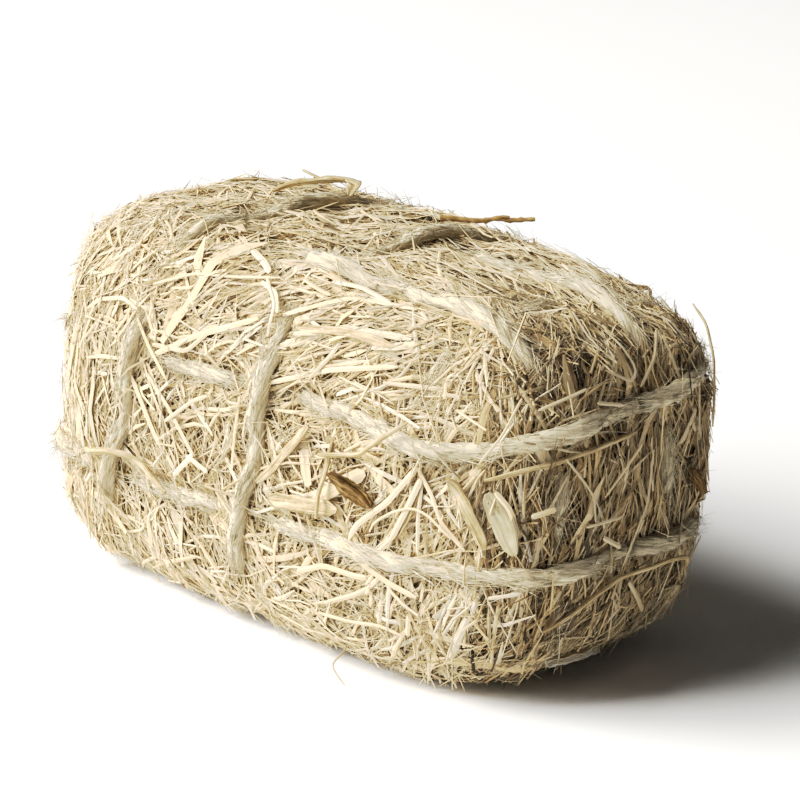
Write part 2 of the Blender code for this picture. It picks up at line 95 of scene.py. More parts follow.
def node(tree: bpy.types.NodeTree, kind: str, settings: Optional[dict] = None,
         links: Optional[dict] = None) -> bpy.types.Node:
    """Add a shader node.

    Args:
        tree: node tree it goes in.
        kind: node type without its ShaderNode prefix.
        settings: property or input values by name or input index.
        links: by input name or index, a socket, or a node for its first output.

    Returns:
        The node.
    """
    made = tree.nodes.new("ShaderNode" + kind)
    for key, value in (settings or {}).items():
        if isinstance(key, str) and hasattr(made, key):
            setattr(made, key, value)
        else:
            made.inputs[key].default_value = value
    for key, source in (links or {}).items():
        socket = source.outputs[0] if isinstance(source, bpy.types.Node) else source
        tree.links.new(socket, made.inputs[key])
    return made


def respan(tree: bpy.types.NodeTree, source: bpy.types.Node, span: tuple[float, float],
           target: tuple[float, float] = (0.0, 1.0)) -> bpy.types.Node:
    """Return a node that turns one span of a source's values into another."""
    return node(tree, "MapRange", {1: span[0], 2: span[1], 3: target[0], 4: target[1]}, {0: source})


def new_material(name: str) -> tuple[bpy.types.Material, bpy.types.NodeTree]:
    """Return a new material and its node tree."""
    mat = bpy.data.materials.new(name)
    mat.use_nodes = True
    return mat, mat.node_tree


def finish_shader(tree: bpy.types.NodeTree, colour: bpy.types.NodeSocket, height: bpy.types.Node,
                  bump: tuple[float, float], values: dict[str, object]) -> None:
    """Give a material's shader its colour, relief and plain values.

    Args:
        tree: node tree of the material.
        colour: socket that its colour comes from.
        height: node that its relief follows.
        bump: strength of the relief, and its depth in metres.
        values: plain values by the shader's input name.
    """
    shader = tree.nodes["Principled BSDF"]
    relief = node(tree, "Bump", {"Strength": bump[0], "Distance": bump[1]}, {"Height": height})
    tree.links.new(colour, shader.inputs["Base Color"])
    tree.links.new(relief.outputs[0], shader.inputs["Normal"])
    for key, value in values.items():
        shader.inputs[key].default_value = value


@dataclass(frozen=True)
class BaleForm:
    """Smooth outer form of the pressed hay, measured over its skin.

    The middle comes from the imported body, the rest are the body's own sizes.
    """

    middle: tuple[float, float]
    length: float = 122.5 * MM
    width: float = 58.2 * MM
    height: float = 64.6 * MM
    roundness: float = 4.2
    back_drop: float = 0.127
    left_swell: float = 0.073
    lean: float = 0.123
    flat_cut: float = 1.3 * MM
    ROUNDS = 3
    REACH = 1.2
    NUDGE = 0.05 * MM

    def raw(self, points: Array) -> Array:
        """Measure how far out places are.

        Args:
            points: places, with x, y and z last.

        Returns:
            One value a place: 1 on the skin and less inside.
        """
        u = (points[..., 0] - self.middle[0]) * 2.0 / self.length
        z = points[..., 2]
        y = points[..., 1] - self.middle[1] - self.lean * (z - self.height / 2.0)
        v = y * 2.0 / self.width
        level = (z + self.flat_cut) * 2.0 / self.height
        w = level - 1.0
        for _ in range(self.ROUNDS):
            w = level / self.stretch(u, v, w) - 1.0
        power = self.roundness
        return (np.abs(u) ** power + np.abs(v) ** power + np.abs(w) ** power) ** (1.0 / power)

    def stretch(self, u: Array, v: Array, w: Array) -> Array:
        """Say how much taller than its middle the bale is at a place.

        Args:
            u: share of the half length, -1 to 1.
            v: share of the half width.
            w: share of the half height.

        Returns:
            The factor on the height.
        """
        backward = 0.5 + 0.5 * np.clip(v, -1.0, self.REACH)
        drop = self.back_drop * u * backward * np.clip(w, 0.0, self.REACH)
        return np.where(u > 0.0, 1.0 - drop, 1.0 + self.left_swell * u * u)

    def height_over(self, points: Array) -> tuple[Array, Array]:
        """Measure places against the skin and the flat underside.

        Args:
            points: places, with x, y and z last.

        Returns:
            The height over the skin and the outward normal of each place.
        """
        value = self.raw(points)
        slope = np.empty(points.shape)
        for axis in range(3):
            nudge = np.zeros(3)
            nudge[axis] = self.NUDGE
            rise = self.raw(points + nudge) - self.raw(points - nudge)
            slope[..., axis] = rise / (2.0 * self.NUDGE)
        size = np.maximum(np.linalg.norm(slope, axis=-1), 1e-9)
        height = (value - 1.0) / size
        normal = slope / size[..., None]
        below = -points[..., 2] > height
        height = np.where(below, -points[..., 2], height)
        normal = np.where(below[..., None], np.array([0.0, 0.0, -1.0]), normal)
        return height, normal

    def settle(self, points: Array, height: Array) -> tuple[Array, Array]:
        """Move points along the normal to a height over the skin.

        Args:
            points: places near the skin.
            height: wanted height for each of them.

        Returns:
            The moved points and their normals.
        """
        normal = None
        for _ in range(self.ROUNDS):
            over, normal = self.height_over(points)
            points = points + normal * (height - over)[..., None]
        return points, normal

    def place(self, directions: Array) -> tuple[Array, Array]:
        """Find the skin in directions from the middle.

        Args:
            directions: (n, 3) directions in shares of the half sizes.

        Returns:
            The skin points and their normals.
        """
        size = (np.abs(directions) ** self.roundness).sum(-1) ** (-1.0 / self.roundness)
        uvw = directions * size[..., None]
        u = uvw[..., 0]
        stretch = self.stretch(u, uvw[..., 1], uvw[..., 2])
        z = np.maximum((uvw[..., 2] + 1.0) * self.height / 2.0 * stretch - self.flat_cut, 0.0)
        x = u * self.length / 2.0 + self.middle[0]
        y = uvw[..., 1] * self.width / 2.0 + self.lean * (z - self.height / 2.0) + self.middle[1]
        return self.settle(np.stack([x, y, z], -1), np.zeros(len(directions)))

    def route(self, points_mm: Sequence[tuple[float, float, float]]) -> Array:
        """Return a route given in mm from the bale's middle as places."""
        return np.array(points_mm) * MM + np.array([*self.middle, 0.0])


def node_triangles(name: str) -> Array:
    """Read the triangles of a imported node.

    Args:
        name: node name.

    Returns:
        An (n, 3, 3) array of corners.
    """
    mesh = bpy.data.objects[name].data
    mesh.calc_loop_triangles()
    places = np.empty(len(mesh.vertices) * 3)
    mesh.vertices.foreach_get("co", places)
    corners = np.empty(len(mesh.loop_triangles) * 3, dtype=np.int32)
    mesh.loop_triangles.foreach_get("vertices", corners)
    return places.reshape(-1, 3)[corners].reshape(-1, 3, 3)


def skin_samples(name: str, per_mm2: float, rng: np.random.Generator) -> Array:
    """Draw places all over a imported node's surface.

    Args:
        name: node name.
        per_mm2: how many on each square millimetre.
        rng: random source.

    Returns:
        The (n, 3) places.
    """
    faces = node_triangles(name)
    edge_a = faces[:, 1] - faces[:, 0]
    edge_b = faces[:, 2] - faces[:, 0]
    area = np.linalg.norm(np.cross(edge_a, edge_b), axis=1) / 2.0
    count = max(FEWEST_SAMPLES, int(area.sum() / MM ** 2 * per_mm2))
    chosen = rng.choice(len(faces), count, p=area / area.sum())
    a, b = rng.random((2, count))
    fold = a + b > 1.0
    a = np.where(fold, 1.0 - a, a)
    b = np.where(fold, 1.0 - b, b)
    return faces[chosen, 0] + edge_a[chosen] * a[:, None] + edge_b[chosen] * b[:, None]


def resampled(line: Array, step: float, closed: bool) -> Array:
    """Space a line's points evenly.

    Args:
        line: (n, 3) points.
        step: wanted distance between points.
        closed: whether the last point joins the first.

    Returns:
        The new points.
    """
    points = np.vstack([line, line[:1]]) if closed else line
    along = np.concatenate([[0.0], np.cumsum(np.linalg.norm(np.diff(points, axis=0), axis=1))])
    count = max(FEWEST_STEPS, int(round(along[-1] / step)))
    wanted = np.linspace(0.0, along[-1], count + 1)
    if closed:
        wanted = wanted[:-1]
    return np.stack([np.interp(wanted, along, points[:, k]) for k in range(3)], -1)


def tangents(line: Array, closed: bool) -> Array:
    """Find the direction of a line at each of its points.

    Args:
        line: (n, 3) points.
        closed: whether the last point joins the first.

    Returns:
        Unit vectors.
    """
    if closed:
        return unit(np.roll(line, -1, axis=0) - np.roll(line, 1, axis=0))
    return unit(np.gradient(line, axis=0))


def softened(line: Array, closed: bool, rounds: int) -> Array:
    """Average out the small kinks of a line.

    Args:
        line: points or plain values along it.
        closed: whether the last one joins the first.
        rounds: how many times to average.

    Returns:
        The softened line, with the ends of an open one kept.
    """
    for _ in range(rounds):
        if closed:
            line = (np.roll(line, 1, axis=0) + 2.0 * line + np.roll(line, -1, axis=0)) / 4.0
        else:
            inner = (line[:-2] + 2.0 * line[1:-1] + line[2:]) / 4.0
            line = np.concatenate([line[:1], inner, line[-1:]])
    return line


def centred(line: Array, samples: Array, closed: bool, slab: float, reach: float,
            fewest: int) -> Array:
    """Move a line to the middle of the skin samples round it.

    Args:
        line: (n, 3) points.
        samples: (m, 3) places on the skin of the strand.
        closed: whether the last point joins the first.
        slab: how far along the line a sample may be from a point.
        reach: how far from the point it may be at all.
        fewest: a point with no more samples than this stays.

    Returns:
        The moved and softened line.
    """
    result = line.copy()
    for k, (point, along) in enumerate(zip(line, tangents(line, closed))):
        offset = samples - point
        near = (np.abs(offset @ along) < slab) & ((offset ** 2).sum(1) < reach ** 2)
        if near.sum() > fewest:
            result[k] = point + offset[near].mean(0)
    return softened(result, closed, 2)


@dataclass
class MeshArrays:
    """Growing vertex, face and map arrays of one joined mesh."""

    places: list[Array] = field(default_factory=list)
    corners: list[Array] = field(default_factory=list)
    sizes: list[Array] = field(default_factory=list)
    maps: list[Array] = field(default_factory=list)
    used: int = 0

    def add(self, places: Array, corners: Array, sizes: Array, maps: Array) -> None:
        """Add a batch of vertices with its faces and map.

        Args:
            places: (n, 3) vertices.
            corners: vertex numbers of all faces in a row.
            sizes: how many corners each face has.
            maps: (corners, 2) map positions.
        """
        self.places.append(places)
        self.corners.append(corners + self.used)
        self.sizes.append(sizes)
        self.maps.append(maps)
        self.used += len(places)

    def add_tube(self, rings: Array, u: Array, v: Array, closed: bool = False) -> None:
        """Add a tube from its rings.

        Args:
            rings: (rings, edges, 3) vertices.
            u: map position along it, one a ring and one more if closed.
            v: map position round it, one an edge and one more.
            closed: whether the last ring joins the first.
        """
        count, edges = rings.shape[:2]
        rows = count if closed else count - 1
        i, j = np.meshgrid(np.arange(rows), np.arange(edges), indexing="ij")
        here, following, across = i * edges, (i + 1) % count * edges, (j + 1) % edges
        quads = np.stack([here + j, here + across, following + across, following + j], -1)
        maps = np.stack([np.stack([u[i], u[i], u[i + 1], u[i + 1]], -1),
                         np.stack([v[j], v[j + 1], v[j + 1], v[j]], -1)], -1)
        self.add(rings.reshape(-1, 3), quads.ravel(), np.full(rows * edges, 4), maps.reshape(-1, 2))

    def add_caps(self, rings: Array, level: float) -> None:
        """Close both ends of an open tube with a face each.

        Args:
            rings: (rings, edges, 3) vertices of the tube.
            level: where the faces lie across the map.
        """
        edges = rings.shape[1]
        turn = np.arange(edges) / edges * TAU
        spot = np.stack([0.01 + 0.004 * np.cos(turn), level + 0.01 * np.sin(turn)], -1)
        for ring, order in ((rings[0], -1), (rings[-1], 1)):
            self.add(ring, np.arange(edges)[::order], np.array([edges]), spot)

    def build(self, name: str, material: bpy.types.Material,
              smooth: bool = True) -> bpy.types.Object:
        """Make everything one mesh object.

        Args:
            name: object name.
            material: its only material.
            smooth: whether faces are shaded smooth.

        Returns:
            The linked object.
        """
        places = np.concatenate(self.places)
        places[:, 2] = np.maximum(places[:, 2], FLOOR_GAP)
        corners = np.concatenate(self.corners).astype(np.int32)
        sizes = np.concatenate(self.sizes).astype(np.int32)
        maps = np.concatenate(self.maps)
        mesh = bpy.data.meshes.new(name)
        mesh.vertices.add(len(places))
        mesh.vertices.foreach_set("co", places.astype(np.float32).ravel())
        mesh.loops.add(len(corners))
        mesh.loops.foreach_set("vertex_index", corners)
        mesh.polygons.add(len(sizes))
        starts = np.concatenate([[0], np.cumsum(sizes)[:-1]]).astype(np.int32)
        mesh.polygons.foreach_set("loop_start", starts)
        mesh.polygons.foreach_set("use_smooth", np.full(len(sizes), smooth))
        layer = mesh.uv_layers.new(name=BAKE_MAP)
        layer.data.foreach_set("uv", maps.astype(np.float32).ravel())
        mesh.update(calc_edges=True)
        mesh.validate()
        mesh.materials.append(material)
        item = bpy.data.objects.new(name, mesh)
        bpy.context.scene.collection.objects.link(item)
        return item


@dataclass
class Stalk:
    """One stalk modelled once, to be bent along many routes.

    Its length runs from 0 to 1 and its cross section is about 1 in radius.
    """

    name: str
    edges: int
    cuts: Sequence[float]
    tip_sizes: tuple[float, float] = (0.45, 0.3)
    flatness: float = 1.0
    places: Array = field(default_factory=lambda: np.zeros((0, 3)))
    corners: Array = field(default_factory=lambda: np.zeros(0, dtype=np.int32))
    sizes: Array = field(default_factory=lambda: np.zeros(0, dtype=np.int32))
    around: Array = field(default_factory=lambda: np.zeros(0))
    # Both flanks share a lane of the map, the far one a little further in.
    FLANK_SPAN = 1.6
    FAR_FLANK = 0.13
    LANE_EDGE, LANE_SPAN = 0.1, 0.8
    MAP_EDGE, MAP_SPAN, MAP_LEAN = 0.01, 0.98, 0.004
    NEAR_END = 1e-4

    def model(self) -> "Stalk":
        """Model the stalk from a cylinder and read it into arrays.

        Returns:
            The stalk itself.
        """
        bpy.ops.object.select_all(action="DESELECT")
        bpy.ops.mesh.primitive_cylinder_add(
            vertices=self.edges, radius=1.0, depth=1.0, location=(0.0, 0.0, 0.5))
        item = bpy.context.object
        item.name = self.name
        bpy.ops.object.mode_set(mode="EDIT")
        for cut in self.cuts:
            bpy.ops.mesh.select_all(action="SELECT")
            bpy.ops.mesh.bisect(plane_co=(0.0, 0.0, cut), plane_no=(0.0, 0.0, 1.0))
        bpy.ops.object.mode_set(mode="OBJECT")
        for end, size in zip((0.0, 1.0), self.tip_sizes):
            self.taper_end(item, end, size)
        bpy.ops.object.mode_set(mode="EDIT")
        bpy.ops.mesh.select_all(action="SELECT")
        bpy.ops.transform.resize(value=(1.0, self.flatness, 1.0))
        bpy.ops.mesh.normals_make_consistent(inside=False)
        bpy.ops.object.mode_set(mode="OBJECT")
        bpy.ops.object.transform_apply(location=True, rotation=True, scale=True)
        mesh = item.data
        co = np.array([tuple(v.co) for v in mesh.vertices])
        self.places = np.stack([co[:, 2], co[:, 0], co[:, 1]], -1)
        faces = [list(p.vertices)[::-1] for p in mesh.polygons]
        self.corners = np.concatenate(faces).astype(np.int32)
        self.sizes = np.array([len(face) for face in faces], dtype=np.int32)
        turn = np.arctan2(self.places[:, 2] / self.flatness, self.places[:, 1]) / TAU
        step = np.round((turn % 1.0) * self.edges) / self.edges
        far = step > 0.5
        flank = np.where(far, 1.0 - step, step) * self.FLANK_SPAN
        self.around = flank + np.where(far, self.FAR_FLANK, 0.0)
        bpy.data.objects.remove(item, do_unlink=True)
        return self

    def taper_end(self, item: bpy.types.Object, end: float, size: float) -> None:
        """Draw the vertices of one end together.

        Args:
            item: the stalk's mesh object.
            end: where the end is along it, 0 or 1.
            size: share of the full size that it keeps.
        """
        vertices = item.data.vertices
        for vertex in vertices:
            vertex.select = abs(vertex.co.z + item.location.z - end) < self.NEAR_END
        for part in (*item.data.edges, *item.data.polygons):
            part.select = all(vertices[k].select for k in part.vertices)
        bpy.ops.object.mode_set(mode="EDIT")
        bpy.ops.transform.resize(value=(size, size, 1.0))
        bpy.ops.object.mode_set(mode="OBJECT")

    @property
    def stations(self) -> Array:
        """Return where the stalk's rings are along its length."""
        return np.unique(np.round(self.places[:, 0], 5))

    @property
    def triangles(self) -> int:
        """Return how many triangles one copy has."""
        return int((self.sizes - 2).sum())

    def copies(self, mesh: MeshArrays, lines: Array, ups: Array, half_width: Array,
               half_thick: Array, lane: Array, shift: Array) -> None:
        """Bend copies of the stalk along lines and add them to a mesh.

        Args:
            mesh: mesh that they join.
            lines: (copies, stations, 3) centre lines.
            ups: (copies, stations, 3) directions of the flat side's normal.
            half_width: half the width of each copy.
            half_thick: half the thickness of each copy.
            lane: colour lane of each copy on the bake map.
            shift: where along the lane each copy starts, 0 to 1.
        """
        count = len(lines)
        if count == 0:
            return
        ring = np.searchsorted(self.stations, np.round(self.places[:, 0], 5))
        ahead = unit(np.gradient(lines, axis=1))
        side = unit(np.cross(ahead, ups))
        up = np.cross(side, ahead)
        across = self.places[:, 1][None, :, None] * half_width[:, None, None]
        rise = self.places[:, 2][None, :, None] * half_thick[:, None, None] / self.flatness
        places = lines[:, ring] + side[:, ring] * across + up[:, ring] * rise
        vertices = len(self.places)
        offsets = np.arange(count)[:, None] * vertices
        corners = (self.corners[None] + offsets).ravel()
        sizes = np.tile(self.sizes, count)
        length = np.linalg.norm(np.diff(lines, axis=1), axis=-1).sum(1)
        span = length / (MAP_LENGTH_MM * MM)
        start = shift * np.maximum(0.0, self.MAP_SPAN - span) + self.MAP_EDGE
        lean = self.MAP_LEAN * (np.arange(vertices) % 2)
        u = start[:, None] + self.places[:, 0][None] * span[:, None] + lean[None]
        v = (lane[:, None] + self.LANE_EDGE + self.LANE_SPAN * self.around[None]) / LANES
        maps = np.stack([u[:, self.corners], v[:, self.corners]], -1).reshape(-1, 2)
        mesh.add(places.reshape(-1, 3), corners, sizes, np.clip(maps, 0.0, 1.0))


@dataclass(frozen=True)
class Ramp:
    """Named colours along a tone scale from dark to light."""

    stops: tuple[tuple[float, str], ...]

    def fill(self, ramp: bpy.types.ColorRamp) -> None:
        """Write the colours into a ramp.

        Args:
            ramp: the ramp of a shader node.
        """
        while len(ramp.elements) > 1:
            ramp.elements.remove(ramp.elements[-1])
        for index, (place, colour) in enumerate(self.stops):
            stop = ramp.elements[0] if index == 0 else ramp.elements.new(place)
            stop.position = place
            stop.color = linear(colour)


@dataclass(frozen=True)
class DryHay:
    """Sun-dried grass stems: waxy, matt to satin, with lengthwise ribs.

    The bake map's lane picks the tone of a stalk, from dark brown to bleached cream, so each stalk
    reads as one plant fibre. Deeper stalks get darker lanes as painted shade, and a few stalks are
    brown of their own.
    """

    name: str = "sun_dried_grass"
    golden: Ramp = Ramp(((0.0, "33271a"), (0.2, "745d3f"), (0.4, "b69c73"), (0.58, "d0b88d"),
                         (0.76, "ddc79f"), (0.9, "e5d2af"), (1.0, "ecdec5")))
    greyed: Ramp = Ramp(((0.0, "2e271f"), (0.2, "6a5d49"), (0.4, "a99b7f"), (0.58, "c4b596"),
                         (0.76, "d3c5a9"), (0.9, "dcd1b9"), (1.0, "e6decb")))
    rib_scale: tuple[float, float] = (9.0, 12.0)
    rib_tone: tuple[float, float] = (-0.17, 0.15)
    stain_scale: float = 11.0
    stain_tone: tuple[float, float] = (-0.08, 0.06)
    grey_span: tuple[float, float] = (0.25, 0.75)
    rib_bump: tuple[float, float] = (0.6, 0.05 * MM)
    roughness: float = 0.68
    specular: float = 0.2

    def build(self) -> bpy.types.Material:
        """Build the finish.

        Returns:
            The material.
        """
        mat, tree = new_material(self.name)
        uv = node(tree, "UVMap", {"uv_map": BAKE_MAP})
        split = node(tree, "SeparateXYZ", links={0: uv})
        scaled = node(tree, "Math", {"operation": "MULTIPLY", 1: float(LANES)},
                      {0: split.outputs[1]})
        lane = node(tree, "Math", {"operation": "FLOOR"}, {0: scaled})
        tone = node(tree, "Math", {"operation": "DIVIDE", 1: float(LANES)}, {0: lane})
        across = node(tree, "Math", {"operation": "FRACT"}, {0: scaled})
        # Ribs about 0.1 mm apart and 7 mm long lie along a stem, as its veins do.
        along = node(tree, "Math", {"operation": "MULTIPLY", 1: self.rib_scale[0]}, {0: split})
        wide = node(tree, "Math", {"operation": "MULTIPLY", 1: self.rib_scale[1]}, {0: across})
        rib_at = node(tree, "CombineXYZ", links={0: along, 1: wide, 2: lane})
        ribs = node(tree, "TexNoise", {"noise_dimensions": "3D", "Scale": 1.0, "Detail": 3.0,
                                       "Roughness": 0.6}, {"Vector": rib_at})
        # Stains and bleached stretches come every 5 to 10 mm along it.
        stain_u = node(tree, "Math", {"operation": "MULTIPLY", 1: self.stain_scale}, {0: split})
        stain_at = node(tree, "CombineXYZ", links={0: stain_u, 1: lane})
        stains = node(tree, "TexNoise", {"noise_dimensions": "2D", "Scale": 1.0, "Detail": 2.0},
                      {"Vector": stain_at})
        ribbed = node(tree, "Math", {"operation": "ADD"},
                      {0: tone, 1: respan(tree, ribs, NOISE_SPAN, self.rib_tone)})
        total = node(tree, "Math", {"operation": "ADD", "use_clamp": True},
                     {0: ribbed, 1: respan(tree, stains, NOISE_SPAN, self.stain_tone)})
        gold = node(tree, "ValToRGB", links={0: total})
        grey = node(tree, "ValToRGB", links={0: total})
        self.golden.fill(gold.color_ramp)
        self.greyed.fill(grey.color_ramp)
        # Some stalks stayed golden and others weathered grey, by their lane.
        chance = node(tree, "TexWhiteNoise", {"noise_dimensions": "1D"}, {"W": lane})
        share = respan(tree, chance, self.grey_span)
        colour = node(tree, "Mix", {"data_type": "RGBA"}, {0: share, 6: gold, 7: grey})
        finish_shader(tree, colour.outputs[2], ribs, self.rib_bump,
                      {"Roughness": self.roughness, "Specular IOR Level": self.specular})
        return mat


@dataclass(frozen=True)
class PaintedShadeHeart:
    """Painted shade deep between the stalks: dark brown hay, dull, no clear stems."""

    name: str = "painted_shade_inner_hay"
    # These dark browns are painted shade for the hay deep between the stalks.
    ramp: Ramp = Ramp(((0.3, "34281a"), (0.55, "5a4830"), (0.75, "7c6645")))
    clumps_per_metre: float = 700.0
    bump: tuple[float, float] = (1.0, 0.5 * MM)

    def build(self) -> bpy.types.Material:
        """Build the finish.

        Returns:
            The material.
        """
        mat, tree = new_material(self.name)
        where = node(tree, "TexCoord")
        # Clumps of 1 to 2 mm, as chopped stems make.
        noise = node(tree, "TexNoise", {"Scale": self.clumps_per_metre, "Detail": 4.0,
                                        "Roughness": 0.7}, {"Vector": where.outputs["Object"]})
        colours = node(tree, "ValToRGB", links={0: noise})
        self.ramp.fill(colours.color_ramp)
        finish_shader(tree, colours.outputs[0], noise, self.bump,
                      {"Roughness": 0.95, "Specular IOR Level": 0.1})
        return mat


@dataclass(frozen=True)
class JuteFibre:
    """Natural jute, spun and hairy: pale grey beige with a silky drift.

    Thin lighter and darker fibres run along each ply.
    """

    name: str = "natural_jute"
    ramp: Ramp = Ramp(((0.0, "7a6b53"), (0.3, "b5a687"), (0.55, "d6c8a8"), (0.8, "e4d9be"),
                       (1.0, "eee6d2")))
    fibre_scale: tuple[float, float, float] = (70.0, 75.0, 1.0)
    patch_scale: tuple[float, float, float] = (108.0, 1.08, 0.12)
    patch_share: float = 0.45
    bump: tuple[float, float] = (0.9, 0.12 * MM)

    def build(self) -> bpy.types.Material:
        """Build the finish.

        Returns:
            The material.
        """
        mat, tree = new_material(self.name)
        uv = node(tree, "UVMap", {"uv_map": BAKE_MAP})
        # The map is 420 mm by 21 mm, with the plies side by side, so the
        # streaks are 6 mm long and 0.3 mm wide and the patches 4 mm long.
        fibre_at = node(tree, "Mapping", {"Scale": self.fibre_scale}, {"Vector": uv})
        fibres = node(tree, "TexNoise", {"noise_dimensions": "2D", "Scale": 1.0, "Detail": 4.0,
                                         "Roughness": 0.65, "Distortion": 0.4},
                      {"Vector": fibre_at})
        patch_at = node(tree, "Mapping", {"Scale": self.patch_scale}, {"Vector": uv})
        patches = node(tree, "TexNoise", {"noise_dimensions": "2D", "Scale": 1.0, "Detail": 2.0},
                       {"Vector": patch_at})
        spread = respan(tree, fibres, (0.25, 0.75), (-0.05, 0.75))
        blend = node(tree, "Math", {"operation": "MULTIPLY_ADD", 1: self.patch_share},
                     {0: patches, 2: spread})
        colours = node(tree, "ValToRGB", links={0: blend})
        self.ramp.fill(colours.color_ramp)
        finish_shader(tree, colours.outputs[0], fibres, self.bump,
                      {"Roughness": 0.8, "Specular IOR Level": 0.2, "Sheen Weight": 0.25,
                       "Sheen Roughness": 0.5})
        return mat


class Side(Enum):
    """Sides of the bale that get a cover of stalks of their own."""

    FRONT = "hay_front"
    BACK = "hay_back"
    TOP = "hay_top"
    UNDER = "hay_underside"
    LEFT_END = "hay_end_left"
    RIGHT_END = "hay_end_right"

    @property
    def axis(self) -> tuple[int, float]:
        """Return the axis and sign that the side faces."""
        return {"FRONT": (1, -1.0), "BACK": (1, 1.0), "TOP": (2, 1.0), "UNDER": (2, -1.0),
                "LEFT_END": (0, -1.0), "RIGHT_END": (0, 1.0)}[self.name]

    @property
    def guides(self) -> tuple[tuple[float, ...], tuple[float, ...]]:
        """Return the side's own right and up directions."""
        return {"FRONT": ((1, 0, 0), (0, 0, 1)), "BACK": ((1, 0, 0), (0, 0, 1)),
                "TOP": ((1, 0, 0), (0, 1, 0)), "UNDER": ((1, 0, 0), (0, 1, 0)),
                "LEFT_END": ((0, 1, 0), (0, 0, 1)), "RIGHT_END": ((0, 1, 0), (0, 0, 1))}[self.name]


@dataclass(frozen=True)
class Lay:
    """A patch of hay that lies one way.

    across_mm and up_mm place it on its side, reach_mm is its radius, angle is
    in degrees from the side's right direction towards its up direction.
    """

    across_mm: float
    up_mm: float
    reach_mm: float
    angle: float
    spread: float
    weight: float = 1.0


@dataclass(frozen=True)
class Cut:
    """A kind of stalk by its sizes, share and place in the pile."""

    stalk: str
    share: float
    width_mm: tuple[float, float]
    flatness: tuple[float, float]
    length_mm: tuple[float, float]
    lift_mm: float
    tone_shift: float = 0.0
    bend_mm: float = 45.0


CUTS = (
    Cut("fibre", 0.31, (0.13, 0.27), (0.45, 0.75), (6.0, 22.0), 1.2, 0.03),
    Cut("fibre", 0.12, (0.09, 0.15), (0.9, 1.0), (7.0, 20.0), 2.0, 0.06, 12.0),
    Cut("stem", 0.32, (0.28, 0.56), (0.3, 0.6), (4.0, 18.0), 0.8, 0.0),
    Cut("split", 0.235, (0.45, 0.95), (0.10, 0.22), (5.0, 20.0), 0.6, 0.02),
    Cut("blade", 0.015, (1.0, 1.9), (0.05, 0.10), (8.0, 24.0), 0.3, -0.02),
)

LAYS = {
    Side.FRONT: (
        Lay(-52, 45, 14, 84, 22), Lay(-48, 20, 14, 95, 20), Lay(-38, 52, 12, 50, 35),
        Lay(-22, 58, 14, 30, 30), Lay(-8, 52, 14, 32, 26), Lay(-14, 33, 12, 118, 24),
        Lay(-6, 34, 12, 40, 45), Lay(-30, 12, 16, 128, 26), Lay(0, 10, 16, 135, 30),
        Lay(20, 54, 14, 24, 12, 2.0), Lay(34, 56, 12, 12, 14, 2.0), Lay(26, 47, 8, 20, 18),
        Lay(18, 34, 9, 125, 22), Lay(30, 34, 12, 80, 50), Lay(44, 34, 9, 92, 26),
        Lay(47, 50, 9, 100, 34), Lay(24, 16, 14, 20, 34), Lay(40, 12, 12, 60, 40),
        Lay(52, 14, 10, 85, 24), Lay(50, 40, 8, 84, 24),
    ),
    Side.TOP: (
        Lay(-50, 0, 20, 20, 50), Lay(-25, -15, 16, 25, 40), Lay(-20, 15, 16, -15, 40),
        Lay(5, 0, 16, 15, 35), Lay(28, -10, 14, -2, 16, 1.5), Lay(30, 15, 14, -4, 20),
        Lay(50, 0, 14, -10, 34), Lay(48, -16, 10, 10, 36),
    ),
    Side.RIGHT_END: (
        Lay(-22, 50, 12, 72, 34), Lay(-20, 32, 12, 84, 22), Lay(-8, 36, 12, 82, 16, 1.6),
        Lay(8, 36, 14, 80, 16, 1.6), Lay(8, 54, 12, 60, 40), Lay(-8, 56, 12, 35, 40),
        Lay(-10, 12, 14, 70, 32), Lay(12, 12, 14, 60, 36), Lay(24, 34, 12, 86, 22),
    ),
    Side.LEFT_END: (
        Lay(0, 34, 30, 88, 30), Lay(0, 34, 30, 40, 40, 0.4),
    ),
    Side.BACK: (
        Lay(-40, 40, 22, 80, 34), Lay(-10, 45, 22, 20, 34), Lay(20, 45, 22, -15, 26),
        Lay(0, 15, 24, 130, 34), Lay(48, 30, 16, 92, 26),
    ),
    Side.UNDER: (
        Lay(0, 0, 60, 0, 50), Lay(0, 0, 60, 60, 40, 0.4),
    ),
}

BUDGET = {Side.FRONT: 196_000, Side.BACK: 90_000, Side.TOP: 150_000, Side.UNDER: 30_000,
          Side.LEFT_END: 44_000, Side.RIGHT_END: 116_000}


@dataclass(frozen=True)
class Tones:
    """Tone of a side's stalks from the deepest layer to the outer one: deeper layers are darker, as
    painted shade between the stalks.
    """

    deep: float = 0.47
    rise: float = 0.30
    spread: float = 0.08
    brown_share: float = 0.09
    brown_drop: float = 0.25


# The shaded end is looser, and its stalks are painted darker and with more contrast, as painted
# shade: its deepest ones come out near black, as painted shade in the gaps between its upright
# stems.
SIDE_TONES = {Side.RIGHT_END: Tones(0.0, 0.62, 0.17, 0.16)}


